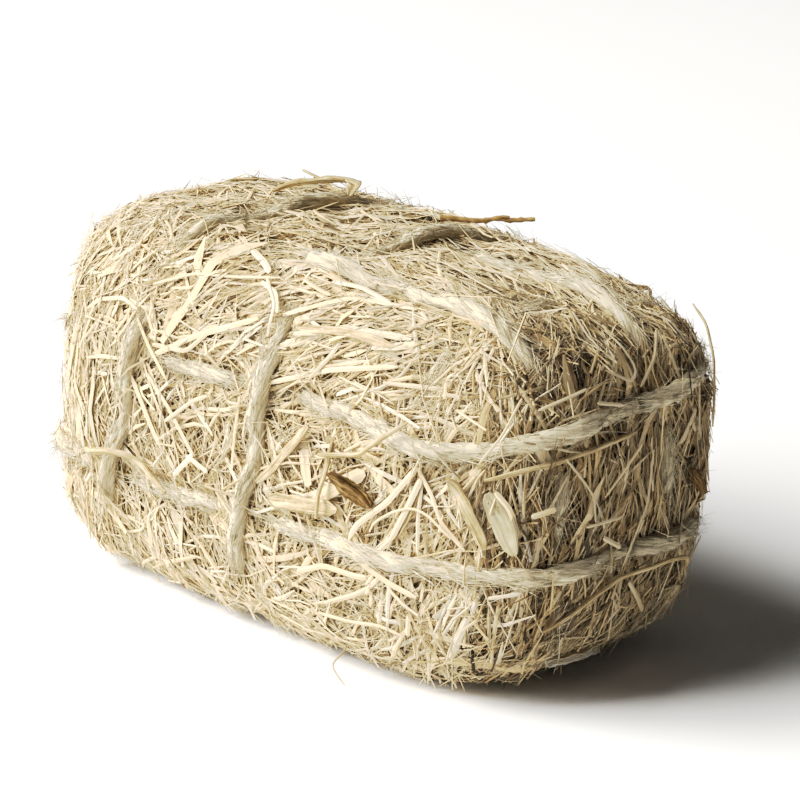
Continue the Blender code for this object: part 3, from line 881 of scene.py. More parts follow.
# Single stalks that stand out on each side: width in mm, tone from 0 to 1,
# height over the hay in mm, and the route in mm.
SINGLES = {
    Side.FRONT: (
        (1.0, 0.88, 0.9, ((41, -27, 37), (36, -28.5, 30.5), (30, -29.5, 25.5), (29, -30, 23))),
        (1.1, 0.8, 1.0, ((42, -27, 35.5), (40, -28, 30.5), (37.5, -29, 25))),
        (0.9, 0.8, 0.9, ((37.5, -29, 25), (35.5, -29.5, 23), (33, -30, 20.5))),
        (0.7, 0.8, 0.7, ((42, -27, 35), (42, -28, 29.5), (42.5, -28.5, 24))),
        (0.7, 0.85, 0.8, ((41, -27, 37), (44, -27, 33.5), (46, -27, 29.5), (50, -26, 26))),
        (0.4, 0.85, 1.3, ((33.5, -29.5, 25.5), (34, -29, 27), (37.5, -28.5, 29.5), (41, -28, 31),
                          (44, -27.5, 30.5), (48, -26.5, 27.5))),
        (0.9, 0.78, 1.6, ((28, -30, 22.5), (33.5, -30, 20), (38.5, -29.5, 18.5),
                          (43.5, -29, 17.5))),
        (2.3, 0.78, 0.2, ((16.5, -30, 26), (22, -29.5, 28.5), (27, -29, 32), (30.5, -28.5, 34))),
        (0.8, 0.75, 0.8, ((24, -30.5, 11.5), (30.5, -30.5, 14.5), (37, -30, 18.5))),
        (0.6, 0.85, 0.9, ((22.5, -30.5, 9.5), (29.5, -30, 10), (36, -30, 11), (40, -29, 10.5))),
        (0.9, 0.8, 0.6, ((36.5, -30, 16.5), (36, -30, 13.5), (35.5, -30, 11))),
        (0.9, 0.85, 0.6, ((41.5, -29.5, 14), (41, -29, 10.5))),
        (0.4, 0.62, 1.0, ((36.5, -27, 42.5), (35, -27.5, 38), (34.5, -28.5, 31))),
        (0.9, 0.85, 0.5, ((17.5, -31, 15), (23.5, -30.5, 17.5), (30, -30.5, 17.5),
                          (34.5, -30, 18))),
        (0.8, 0.72, 0.4, ((37, -28, 33.5), (34.5, -28.5, 31), (32, -29, 28.5))),
        (0.7, 0.88, 0.8, ((-43.5, -25.5, 46), (-39.5, -25.5, 48.5), (-32.5, -25.5, 50),
                          (-28, -26.5, 49))),
        (1.0, 0.8, 0.5, ((-28, -28, 37.5), (-20.5, -29.5, 29), (-14, -30, 24))),
        (0.8, 0.8, 0.5, ((-24, -28, 39), (-17.5, -28.5, 34.5), (-9, -30, 27))),
        (0.7, 0.8, 0.8, ((-17.5, -29, 32), (-10.5, -28.5, 37), (-7, -28.5, 38.5))),
        (0.6, 0.78, 0.8, ((1, -28, 40), (0.5, -29, 34), (0.5, -29.5, 27))),
        (0.5, 0.8, 1.0, ((-25, -25, 53.5), (-16, -23.5, 56.5), (-7, -22.5, 57),
                         (3.5, -21.5, 58.5))),
        (0.8, 0.88, 0.5, ((7.5, -24.5, 54), (20, -21.5, 58.5), (33, -20, 58.5))),
        (0.8, 0.88, 0.6, ((7.5, -27.5, 43.5), (20.5, -26.5, 48), (34.5, -25, 51))),
        (1.1, 0.82, 0.3, ((8.5, -26, 49.5), (20.5, -24.5, 54.5), (35, -23, 55))),
        (1.0, 0.86, 0.4, ((-23, -27.5, 42), (-12, -27, 47.5), (2, -25, 52.5))),
        (0.8, 0.8, 0.4, ((-23, -27.5, 44), (-14, -27.5, 44.5), (-8.5, -26.5, 49))),
        (0.6, 0.9, 1.2, ((1, -22, 58), (5.5, -24, 55), (6, -26, 50.5))),
        (0.7, 0.85, 0.8, ((-27.5, -26.5, 47.5), (-23.5, -27.5, 43.5), (-18, -28, 39))),
        (0.7, 0.85, 0.5, ((-47, -29.5, 40), (-47, -26.5, 33), (-42, -28, 27.5))),
        (1.0, 0.95, 0.9, ((-14, -30, 23.5), (-9.5, -29.5, 28))),
        (0.8, 0.95, 0.9, ((-5.5, -30, 26), (-11, -29.5, 27.5))),
        (0.6, 0.9, 0.6, ((17.5, -25, 53.5), (12, -24, 54.5))),
        (1.3, 0.95, 0.6, ((51, -26.5, 15.5), (47.5, -26.5, 8.5))),
        (0.4, 0.7, 1.4, ((54.5, -19.5, 49), (53.5, -22, 44), (51, -24, 39.5))),
        (0.8, 0.95, 1.0, ((0, -22.5, 57.5), (4.5, -23, 56.5), (6.5, -24.5, 54))),
    ),
    Side.TOP: (
        (0.7, 0.85, 0.9, ((-7, 8, 67), (-2.5, 13.5, 63), (2, 18.5, 62.5), (11.5, 15.5, 65.5),
                          (17.5, 12, 65), (15.5, 18.5, 61.5))),
        (0.7, 0.85, 0.9, ((-26.5, 16.5, 63.5), (-23, 15.5, 63.5), (-21, 14, 67.5))),
        (1.1, 0.95, 1.0, ((-7, -18.5, 60.5), (-2, -20, 59.5), (0.5, -21, 58.5))),
        (0.8, 0.95, 0.6, ((14, -20, 59.5), (20, -19.5, 59.5), (28, -20.5, 58.5))),
        (0.6, 0.75, 1.0, ((8.5, -21, 59), (13, -21.5, 58), (16, -22, 58))),
        (0.6, 0.8, 0.8, ((20, -11, 62), (24.5, -6.5, 62), (36, -9.5, 61), (41.5, -10, 60))),
        (0.5, 0.85, 1.0, ((-8.5, -11, 63), (-13.5, 1.5, 63.5), (-15.5, 8, 63.5))),
        (1.5, 0.8, 0.5, ((-17.5, -2.5, 63.5), (-10, -2, 63.5))),
    ),
    Side.RIGHT_END: (
        (0.5, 0.85, 1.4, ((61, -1.5, 40), (61, -9.5, 33.5))),
        (0.5, 0.8, 1.6, ((58.5, -11.5, 49.5), (56.5, -18.5, 47.5))),
        (0.4, 0.75, 1.2, ((59.5, -16, 40.5), (61, -11.5, 34), (61, -11, 28.5))),
        (0.9, 0.85, 1.2, ((59, -17.5, 33), (57.5, -20.5, 32))),
        (0.5, 0.8, 1.4, ((60.5, -13, 29.5), (61, -5.5, 29.5))),
        (0.6, 0.8, 1.4, ((59.5, -10, 47.5), (60.5, -5, 46.5))),
        (0.6, 0.8, 1.8, ((55.5, -1.5, 54), (58.5, -0.5, 50), (59.5, -2.5, 49), (58, -7, 51))),
        (0.5, 0.75, 1.2, ((61, 1.5, 38.5), (61, 0.5, 30), (61, -5, 21))),
        (0.6, 1.0, 1.8, ((54, -25, 19.5), (57, -22, 20.5))),
        (0.8, 0.8, 1.2, ((61, -9.5, 27), (61, -5.5, 24.5))),
        (0.6, 0.75, 1.0, ((54.5, 10, 53.5), (58, 5.5, 51), (59.5, 0, 48))),
        (0.8, 0.7, 0.8, ((55.5, 10.5, 52.5), (59, 9.5, 49), (60.5, 10, 45.5))),
        (0.8, 0.8, 0.8, ((60.5, 12.5, 42.5), (61, 8.5, 38))),
        (0.8, 0.7, 0.8, ((61, -2.5, 18), (59.5, 3, 11.5))),
        (0.9, 0.85, 1.0, ((53.5, -23.5, 35.5), (55.5, -22.5, 33), (56.5, -22, 29))),
    ),
}


@dataclass(frozen=True)
class Buried:
    """A stretch of twine that the hay hides, as a box in mm."""

    twine: str
    low: tuple[float, float, float]
    high: tuple[float, float, float]


BURIED = (
    Buried("twine_girth_right", (20, -45, 0), (60, -10, 39)),
    Buried("twine_lengthwise_front", (-70, -30, 50), (-5.5, 0, 80)),
    Buried("twine_lengthwise_back", (-70, -10, 50), (10, 20, 80)),
    Buried("twine_girth_left", (-50, -45, 0), (-20, -15, 16)),
    Buried("twine_girth_middle", (-14, -45, 0), (20, -15, 10)),
    Buried("twine_around_upper", (-70, -45, 30), (-31, -10, 60)),
    Buried("twine_girth_left", (-45, -45, 47), (-10, -16.5, 80)),
)


class TwinePath:
    """Centre line of one tie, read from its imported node."""

    STEP = 1.0 * MM
    SAMPLES_PER_MM2 = 6.0
    SECTORS = 120
    FEWEST_IN_SECTOR = 3
    ROUNDS = 4
    SLAB, REACH, FEWEST_NEAR = 1.1 * MM, 4.4 * MM, 8
    SINK_ROUNDS = 6

    def __init__(self, name: str, rng: np.random.Generator) -> None:
        """Trace the node.

        Args:
            name: node name.
            rng: random source for the samples.
        """
        self.name = name
        samples = skin_samples(name, self.SAMPLES_PER_MM2, rng)
        middle = samples.mean(0)
        _, _, axes = np.linalg.svd(samples - middle, full_matrices=False)
        flat = (samples - middle) @ axes[:2].T
        turn = np.arctan2(flat[:, 1], flat[:, 0]) / TAU
        sector = (turn % 1.0 * self.SECTORS).astype(int)
        filled = [k for k in range(self.SECTORS) if (sector == k).sum() > self.FEWEST_IN_SECTOR]
        gaps = np.diff(filled + [filled[0] + self.SECTORS])
        self.closed = bool(gaps.max() <= 1)
        if not self.closed:
            first = int(gaps.argmax()) + 1
            filled = filled[first:] + filled[:first]
        line = np.array([samples[sector == k].mean(0) for k in filled])
        for _ in range(self.ROUNDS):
            line = resampled(line, self.STEP, self.closed)
            line = centred(line, samples, self.closed, self.SLAB, self.REACH, self.FEWEST_NEAR)
        self.line = softened(resampled(line, self.STEP, self.closed), self.closed, 3)
        self.length = float(np.linalg.norm(np.diff(self.line, axis=0), axis=1).sum())
        self.shown = ~self.hidden()

    def hidden(self) -> Array:
        """Find the points that the hay hides.

        Returns:
            One truth value a point.
        """
        mask = np.zeros(len(self.line), dtype=bool)
        for stretch in BURIED:
            if stretch.twine == self.name:
                over = self.line > np.array(stretch.low) * MM
                mask |= (over & (self.line < np.array(stretch.high) * MM)).all(1)
        return mask

    def sink(self, form: BaleForm, depth: float) -> None:
        """Lower the hidden stretches into the hay.

        Args:
            form: the bale's form.
            depth: how far down they go.
        """
        share = softened((~self.shown).astype(float), self.closed, self.SINK_ROUNDS)
        _, normal = form.height_over(self.line)
        self.line = self.line - normal * (share * depth)[:, None]


class TwineField:
    """Says how near places on the bale are to a visible tie."""

    def __init__(self, paths: Sequence[TwinePath], form: BaleForm) -> None:
        """Index the visible stretches of all ties.

        Args:
            paths: the ties.
            form: the bale's form.
        """
        points = np.concatenate([path.line[path.shown] for path in paths])
        self.height = form.height_over(points)[0]
        self.tree = KDTree(len(points))
        for index, point in enumerate(points):
            self.tree.insert(point, index)
        self.tree.balance()

    def near(self, points: Array) -> tuple[Array, Array]:
        """Look up the nearest tie.

        Args:
            points: places, with x, y and z last.

        Returns:
            The distance to the nearest tie from each place, and how high
            that tie lies over the skin.
        """
        flat = points.reshape(-1, 3)
        gaps = np.empty(len(flat))
        index = np.empty(len(flat), dtype=int)
        for k, point in enumerate(flat.tolist()):
            _, index[k], gaps[k] = self.tree.find(point)
        shape = points.shape[:-1]
        return gaps.reshape(shape), self.height[index].reshape(shape)


@dataclass
class HayHeart:
    """Heart of the bale, seen only between the stalks; its dark finish is painted shade."""

    form: BaleForm
    inset: float = 3.1 * MM
    cuts: int = 40

    def build(self, material: bpy.types.Material) -> bpy.types.Object:
        """Cut a cube fine and swell it to the bale's form.

        Args:
            material: its finish.

        Returns:
            The heart.
        """
        bpy.ops.object.select_all(action="DESELECT")
        bpy.ops.mesh.primitive_cube_add(size=2.0)
        item = bpy.context.object
        item.name = "hay_heart"
        bpy.ops.object.mode_set(mode="EDIT")
        bpy.ops.mesh.select_all(action="SELECT")
        bpy.ops.mesh.subdivide(number_cuts=self.cuts)
        bpy.ops.object.mode_set(mode="OBJECT")
        places = np.empty(len(item.data.vertices) * 3)
        item.data.vertices.foreach_get("co", places)
        skin, _ = self.form.place(places.reshape(-1, 3))
        skin, _ = self.form.settle(skin, np.full(len(skin), -self.inset))
        item.data.vertices.foreach_set("co", skin.ravel())
        item.data.update()
        item.data.materials.append(material)
        bpy.ops.object.shade_smooth()
        return item


@dataclass
class HayCover:
    """Stalks laid over one side of the bale, deep to outer, painted dark to light as painted shade.
    """

    side: Side
    form: BaleForm
    twines: TwineField
    stalks: dict[str, Stalk]
    rng: np.random.Generator
    deepest: float = -2.6 * MM
    highest: float = 0.45 * MM
    thinnest_floor: float = 0.25 * MM
    edge_pull: float = 0.93
    outward_pull: float = 0.85
    tilt: float = 0.07
    tilt_limit: float = 0.9 * MM
    waviness: float = 0.12 * MM
    spring: tuple[float, float] = (0.15, 1.0)
    roll: float = 0.24
    # A tie holds stalks this far under its middle, up to 4.4 mm beside it.
    press: float = 0.6 * MM
    held: tuple[float, float] = (1.9 * MM, 4.4 * MM)
    free_height: float = 2.5 * MM
    # A few outer stalks cross a tie instead, and come down beside it.
    crossing_share: float = 0.04
    crossing_layer: float = 0.6
    crossing_height: float = 1.85 * MM
    beside: tuple[float, float] = (1.6 * MM, 5.5 * MM)
    clump_height: float = 0.6 * MM
    clump_waves: int = 9
    single_rise_mm: float = 0.25
    single_thickness: tuple[float, float] = (0.35, 0.14 * MM)
    clumps: list[tuple[Array, float]] = field(default_factory=list)

    def __post_init__(self) -> None:
        """Draw the waves that clump the hay, 6 to 16 mm from crest to crest."""
        for _ in range(self.clump_waves):
            length = self.rng.uniform(6.0, 16.0) * MM
            wave = unit(self.rng.normal(0.0, 1.0, 3)) * TAU / length
            self.clumps.append((wave, self.rng.uniform(0.0, TAU)))

    def anchors(self, count: int) -> Array:
        """Draw directions towards the side.

        Args:
            count: how many.

        Returns:
            The (count, 3) directions, a little denser near the edges.
        """
        axis, sign = self.side.axis
        flat = self.rng.uniform(-1.0, 1.0, (count, 2))
        flat = np.sign(flat) * np.abs(flat) ** self.edge_pull
        return np.insert(flat, axis, sign, axis=1)

    def angles(self, points: Array) -> Array:
        """Draw the lay of the hay.

        Args:
            points: (n, 3) places on the skin.

        Returns:
            An angle in radians from the side's right direction for each.
        """
        offset = points - [*self.form.middle, 0.0]
        across, rise = (offset @ np.array(guide, float) / MM for guide in self.side.guides)
        lays = LAYS[self.side]
        pull = np.stack([
            lay.weight * np.exp(-((across - lay.across_mm) ** 2 + (rise - lay.up_mm) ** 2)
                                / (2 * lay.reach_mm ** 2))
            for lay in lays], -1) + 1e-4
        pull /= pull.sum(1, keepdims=True)
        pick = (pull.cumsum(1) > self.rng.random(len(points))[:, None]).argmax(1)
        mean = np.array([lay.angle for lay in lays])[pick]
        spread = np.array([lay.spread for lay in lays])[pick]
        return np.radians(mean + self.rng.normal(0.0, 1.0, len(points)) * spread)

    def directions(self, points: Array, normals: Array) -> Array:
        """Draw the direction in the skin of each new stalk.

        Args:
            points: (n, 3) places on the skin.
            normals: their normals.

        Returns:
            Unit vectors.
        """
        right, up = (np.array(guide, float) for guide in self.side.guides)
        flat_right = unit(right - normals * (normals @ right)[:, None])
        flat_up = unit(np.cross(normals, flat_right))
        flat_up *= np.sign(flat_up @ up)[:, None]
        angle = self.angles(points)
        return flat_right * np.cos(angle)[:, None] + flat_up * np.sin(angle)[:, None]

    def lines(self, stalk: Stalk, cut: Cut, count: int) -> tuple[Array, Array, Array]:
        """Lay stalks of one kind in the pile.

        Args:
            stalk: the stalk that they are copies of.
            cut: their kind.
            count: how many.

        Returns:
            Their centre lines, the normals along them and how far out in
            the pile each of them lies, 0 to 1.
        """
        points, normals = self.form.place(self.anchors(count))
        ahead = self.directions(points, normals)
        sideways = np.cross(normals, ahead)
        length = self.lengths(cut, count)
        layer = self.rng.random(count) ** self.outward_pull
        along = (stalk.stations[None] - 0.5) * length[:, None]
        bend = self.rng.normal(0.0, 1.0, count) / cut.bend_mm / MM
        lines = points[:, None] + ahead[:, None] * along[..., None]
        lines = lines + sideways[:, None] * (bend[:, None] * along ** 2)[..., None]
        over, _ = self.form.height_over(lines)
        base = self.deepest + (self.highest - self.deepest) * layer
        tilt = self.rng.normal(0.0, self.tilt, count)[:, None] * along
        wave = self.rng.normal(0.0, self.waviness, along.shape)
        spring = over * self.rng.uniform(*self.spring, count)[:, None]
        most = cut.lift_mm * MM * (0.4 + 1.2 * layer[:, None])
        lift = np.maximum(np.minimum(spring, most), 0.0)
        height = base[:, None] + np.clip(tilt, -self.tilt_limit, self.tilt_limit) + lift + wave
        height = self.under_twine(lines, height + self.relief(lines), layer, cut)
        lines, normal = self.form.settle(lines, height)
        lines[..., 2] = np.maximum(lines[..., 2], self.thinnest_floor)
        return lines, normal, layer

    def lengths(self, cut: Cut, count: int) -> Array:
        """Return stalk lengths, more short ones than long ones."""
        low, high = cut.length_mm
        return (low + (high - low) * self.rng.beta(1.6, 2.6, count)) * MM

    def relief(self, points: Array) -> Array:
        """Say how far clumps stand out and hollows lie in.

        Args:
            points: places, with x, y and z last.

        Returns:
            A height in metres for each.
        """
        total = np.zeros(points.shape[:-1])
        for wave, turn in self.clumps:
            total += np.sin(points @ wave + turn)
        return self.clump_height * total / math.sqrt(len(self.clumps))

    def under_twine(self, lines: Array, height: Array, layer: Array, cut: Cut) -> Array:
        """Press stalks down where a tie holds them, apart from a few on top.

        Args:
            lines: centre lines of the stalks.
            height: their wanted heights over the skin.
            layer: how far out in the pile each stalk lies, 0 to 1.
            cut: their kind.

        Returns:
            The heights that the ties leave them.
        """
        gap, tie = self.twines.near(lines)
        share = smooth_step(*self.held, gap)
        cap = (tie - self.press) * (1.0 - share) + self.free_height * share
        held = np.minimum(height, cap)
        beside = smooth_step(*self.beside, gap)
        arch = (tie + self.crossing_height) * (1.0 - beside) + height * beside
        crossing = self.rng.random(len(lines)) < self.crossing_share
        crossing &= (layer > self.crossing_layer) & (cut.stalk in ("fibre", "stem"))
        return np.where(crossing[:, None], np.maximum(height, arch), held)

    def build(self, material: bpy.types.Material) -> bpy.types.Object:
        """Lay the whole cover.

        Args:
            material: its finish.

        Returns:
            The cover as one piece.
        """
        mesh = MeshArrays()
        mean = sum(cut.share * self.stalks[cut.stalk].triangles for cut in CUTS)
        total = BUDGET[self.side] / mean
        tones = SIDE_TONES.get(self.side, Tones())
        for cut in CUTS:
            stalk = self.stalks[cut.stalk]
            count = int(total * cut.share)
            lines, normals, layer = self.lines(stalk, cut, count)
            width = self.rng.uniform(*cut.width_mm, count) * MM / 2.0
            thick = width * self.rng.uniform(*cut.flatness, count)
            roll = self.rng.normal(0.0, self.roll, count)[:, None, None]
            ahead = unit(np.gradient(lines, axis=1))
            ups = normals * np.cos(roll) + np.cross(ahead, normals) * np.sin(roll)
            chance = self.rng.normal(0.0, tones.spread, count)
            # Deeper stalks get darker tones: painted shade between the stalks.
            tone = tones.deep + tones.rise * layer + cut.tone_shift + chance
            brown = self.rng.random(count) < tones.brown_share
            tone = np.where(brown, tone - tones.brown_drop, tone)
            lane = np.clip(tone * LANES, 1, LANES - 2).astype(int)
            stalk.copies(mesh, lines, ups, width, thick, lane, self.rng.random(count))
        self.singles(mesh)
        return mesh.build(self.side.value, material, smooth=False)

    def singles(self, mesh: MeshArrays) -> None:
        """Add the stalks that stand out, each along its own route.

        Args:
            mesh: mesh that they join.
        """
        stalk = self.stalks["long"]
        thick_share, thickest = self.single_thickness
        for width, tone, lift, route in SINGLES.get(self.side, ()):
            line = softened(resampled(self.form.route(route), 0.5 * MM, False), False, 4)
            along = np.linspace(0.0, 1.0, len(line))
            line = np.stack([np.interp(stalk.stations, along, line[:, k]) for k in range(3)], -1)
            height = np.full((1, len(line)), (lift + self.single_rise_mm) * MM)
            line, normals = self.form.settle(line[None], height)
            line[..., 2] = np.maximum(line[..., 2], self.thinnest_floor)
            half = np.array([width / 2.0 * MM])
            lane = np.array([int(tone * (LANES - 3))])
            thick = np.minimum(half * thick_share, thickest)
            stalk.copies(mesh, line, normals, half, thick, lane, self.rng.random(1))


@dataclass
class Twine:
    """Three-ply jute twine with loose hairs, laid along a tie's path."""

    path: TwinePath
    form: BaleForm
    hair: Stalk
    rng: np.random.Generator
    plies: int = 3
    ply_radius: float = 1.08 * MM
    orbit: float = 0.5 * MM
    pitch: float = 36.0 * MM
    ply_twist: float = 1.4
    ply_map: float = 0.96
    sway: float = 0.18
    lumps: float = 0.13
    slubs: float = 0.10
    ring_edges: int = 8
    ring_step: float = 1.25 * MM
    hairs_per_mm: float = 9.0
    hair_length_mm: tuple[float, float] = (2.5, 9.0)
    hair_radius_mm: tuple[float, float] = (0.045, 0.085)
    hair_curl_mm: float = 14.0
    hair_reach: float = 3.2 * MM
    stray_share: float = 0.2
    stray_rise: float = 0.3

    def frames(self, line: Array) -> tuple[Array, Array, Array]:
        """Set a steady frame at each point of a line.

        Args:
            line: (n, 3) points.

        Returns:
            Unit vectors ahead, outward and to the side.
        """
        ahead = tangents(line, self.path.closed)
        _, outward = self.form.height_over(line)
        side = unit(np.cross(ahead, outward))
        return ahead, np.cross(side, ahead), side

    def twist(self, mesh: MeshArrays) -> list[Array]:
        """Add the plies, twisted round each other.

        Args:
            mesh: mesh that they join.

        Returns:
            Their centre lines.
        """
        line = resampled(self.path.line, self.ring_step, self.path.closed)
        _, out, side = self.frames(line)
        along = np.arange(len(line)) / len(line)
        turns = max(1, round(self.path.length / self.pitch))
        centres = []
        for ply in range(self.plies):
            phase = TAU * (turns * along + ply / 3.0)
            sway = 1.0 + self.sway * np.sin(TAU * (along * turns * 0.37 + ply * 0.31))
            orbit = self.orbit * sway
            ring = out * np.cos(phase)[:, None] + side * np.sin(phase)[:, None]
            centres.append(line + ring * orbit[:, None])
            self.tube(mesh, centres[-1], phase, ply)
        return centres

    def tube(self, mesh: MeshArrays, centre: Array, phase: Array, ply: int) -> None:
        """Add one ply as a lumpy tube.

        Args:
            mesh: mesh it joins.
            centre: its centre line.
            phase: how far round the twine it is at each point.
            ply: its number.
        """
        _, out, side = self.frames(centre)
        count, edges = len(centre), self.ring_edges
        turn = np.arange(edges) / edges * TAU
        angle = turn[None] + self.ply_twist * phase[:, None]
        lumps = 1.0 + self.lumps * self.rng.normal(0.0, 1.0, (count, edges)).clip(-2, 2)
        slubs = 1.0 + self.slubs * np.sin(np.arange(count) * 0.21 + ply * 2.0)
        size = self.ply_radius * lumps * slubs[:, None]
        ring = out[:, None] * np.cos(angle)[..., None] + side[:, None] * np.sin(angle)[..., None]
        rings = centre[:, None] + ring * size[..., None]
        u = (np.arange(count + 1) * self.ring_step) / (TWINE_MAP_MM * MM)
        v = (ply + np.arange(edges + 1) / edges * self.ply_map) / self.plies
        mesh.add_tube(rings, u, v, self.path.closed)
        if not self.path.closed:
            mesh.add_caps(rings, v[0] + 0.01)

    def hairs(self, mesh: MeshArrays, centres: list[Array]) -> None:
        """Add the hairs that stand out of the plies.

        Args:
            mesh: mesh that they join.
            centres: centre lines of the plies.
        """
        count = int(self.path.length / MM * self.hairs_per_mm)
        ply = self.rng.integers(0, self.plies, count)
        stack = np.stack(centres)
        at = self.rng.integers(0, stack.shape[1], count)
        root = stack[ply, at]
        ahead = np.stack([self.frames(centre)[0] for centre in centres])[ply, at]
        ahead = ahead * self.rng.choice([-1.0, 1.0], count)[:, None]
        stray = unit(self.rng.normal(0.0, 1.0, (count, 3)))
        _, normal = self.form.height_over(root)
        outward = unit(stray + normal * 0.9)
        outward = unit(outward - ahead * (outward * ahead).sum(1)[:, None])
        length = self.rng.uniform(*self.hair_length_mm, count) * MM
        along = self.hair.stations[None] * length[:, None]
        rise = self.rng.uniform(-0.02, 0.10, count)
        rise = rise + self.stray_rise * (self.rng.random(count) < self.stray_share)
        curl = self.rng.normal(0.0, 1.0, count) / self.hair_curl_mm / MM
        side = np.cross(ahead, outward)
        start = root + outward * self.ply_radius * 0.8
        lines = (start[:, None] + ahead[:, None] * along[..., None]
                 + outward[:, None] * (rise[:, None] * along)[..., None]
                 + side[:, None] * (curl[:, None] * along ** 2 * 0.35)[..., None])
        lines[..., 2] = np.maximum(lines[..., 2], STRAND_GAP)
        over, _ = self.form.height_over(lines)
        keep = over.max(1) < self.hair_reach
        lines = lines[keep]
        ups = np.broadcast_to(outward[keep][:, None], lines.shape)
        half = self.rng.uniform(*self.hair_radius_mm, len(lines)) * MM
        lane = self.rng.integers(2, LANES - 2, len(lines))
        self.hair.copies(mesh, lines, ups, half, half, lane, self.rng.random(len(lines)))

    def build(self, material: bpy.types.Material) -> bpy.types.Object:
        """Spin the twine.

        Args:
            material: its finish.

        Returns:
            The twine as one piece.
        """
        mesh = MeshArrays()
        self.hairs(mesh, self.twist(mesh))
        return mesh.build(self.path.name.replace("twine", "jute"), material)


class Growth(Enum):
    """What a prominent loose piece is, which sets its section and finish."""

    SPLIT_STRAW = "split_straw"
    ROUND_STEM = "round_stem"
    LEAF = "leaf"
    BRACT = "bract"
    PAPER = "paper"
    TWIG = "twig"
    HAIR = "hair"


@dataclass(frozen=True)
class LooseGrowth:
    """One prominent loose stalk, leaf or husk by its route in mm."""

    name: str
    growth: Growth
    width_mm: float
    route: tuple[tuple[float, float, float], ...]
    curl: float = 0.25
    branch: tuple[tuple[float, float, float], ...] = ()


LOOSE = (
    LooseGrowth("leaf_near_corner", Growth.LEAF, 3.7,
                ((52, -24, 35.5), (54, -23.5, 32.5), (55.5, -23, 29.5), (56.5, -22.5, 26))),
    LooseGrowth("flat_stem_near_corner", Growth.SPLIT_STRAW, 1.9,
                ((47, -26, 37), (49.5, -25.5, 33.5), (51.5, -25, 29.5), (53, -25, 26))),
    LooseGrowth("flat_straw_front", Growth.SPLIT_STRAW, 2.6,
                ((9.5, -30, 25), (16.5, -30, 26), (26, -29.5, 27))),
    LooseGrowth("upright_stem_front", Growth.ROUND_STEM, 0.8,
                ((23.5, -28, 38), (22.5, -29, 31), (22.5, -30, 24.5))),
    LooseGrowth("diagonal_stem_front", Growth.SPLIT_STRAW, 1.5,
                ((18, -28, 39), (13, -29, 33.5), (7.5, -29.5, 27))),
    LooseGrowth("curved_stem_front", Growth.ROUND_STEM, 0.85,
                ((21, -28.5, 35), (26.5, -28.5, 36), (31.5, -28, 37.5), (40, -26, 44))),
    LooseGrowth("bent_stem_left", Growth.ROUND_STEM, 1.2,
                ((-41.5, -29, 21.5), (-32.5, -29.5, 23.5), (-26.5, -30, 24.5), (-15, -30.5, 20))),
    LooseGrowth("dried_bract_front", Growth.BRACT, 4.0,
                ((25.5, -29, 33.5), (29.5, -29, 31.5), (33.5, -29, 29)), 0.9),
    LooseGrowth("fan_stem_corner", Growth.SPLIT_STRAW, 1.1,
                ((42, -27, 36), (40.5, -28, 30), (38, -29, 25))),
    LooseGrowth("flat_straw_shoulder", Growth.SPLIT_STRAW, 1.4,
                ((11, -25, 52.5), (22.5, -24.5, 54), (33, -24, 53.5))),
    LooseGrowth("long_straw_end_upper", Growth.ROUND_STEM, 0.8,
                ((51.5, -24, 37), (58, -19, 39.5), (61, -7.5, 41.5), (61, -1.5, 42))),
    LooseGrowth("long_straw_end_lower", Growth.ROUND_STEM, 0.8,
                ((58, -19.5, 13.5), (61, -9, 18), (61, 6, 21), (59.5, 13.5, 14.5))),
    LooseGrowth("papery_bract_end", Growth.PAPER, 3.6,
                ((56, -15.5, 7), (55.5, -8, 6.5), (54.5, -1, 6)), 0.7),
    LooseGrowth("seed_husk_end", Growth.BRACT, 2.8,
                ((61.6, 11, 33.5), (61.8, 13.5, 31), (61.2, 15.5, 28)), 0.9),
    LooseGrowth("drooping_strand", Growth.HAIR, 0.55,
                ((49.5, 25.5, 55.5), (54.5, 23.5, 53), (58.5, 20.5, 49), (61, 18, 44),
                 (62, 16.5, 38.5))),
    LooseGrowth("folded_straw_top", Growth.SPLIT_STRAW, 2.4,
                ((-25.5, 1, 66), (-21.5, 5.5, 66.3), (-20, 11, 67), (-18, 14, 67.5),
                 (-15, 11.5, 66.5), (-13, 8, 65.5)), 0.6),
    LooseGrowth("straw_tip_top_back", Growth.HAIR, 0.6,
                ((-23.5, 12.5, 66.6), (-26.5, 12, 67.4), (-29.5, 11.5, 68.3))),
    LooseGrowth("straw_tip_top_left", Growth.HAIR, 0.6,
                ((-39.5, 2.5, 66), (-35.2, 7.2, 66.2))),
    LooseGrowth("loose_hair_front", Growth.HAIR, 0.35,
                ((28, -30.5, 5.5), (30.5, -33, 3), (33.5, -35.5, 0.9))),
    LooseGrowth("twig_top", Growth.TWIG, 1.2,
                ((4.5, 12.5, 63.6), (8, 16, 63.9), (12, 20, 63.8), (16.5, 24.5, 64.2)),
                branch=((10, 18.2, 64), (11.2, 19.2, 65.2), (11.8, 19.8, 66.6))),
)


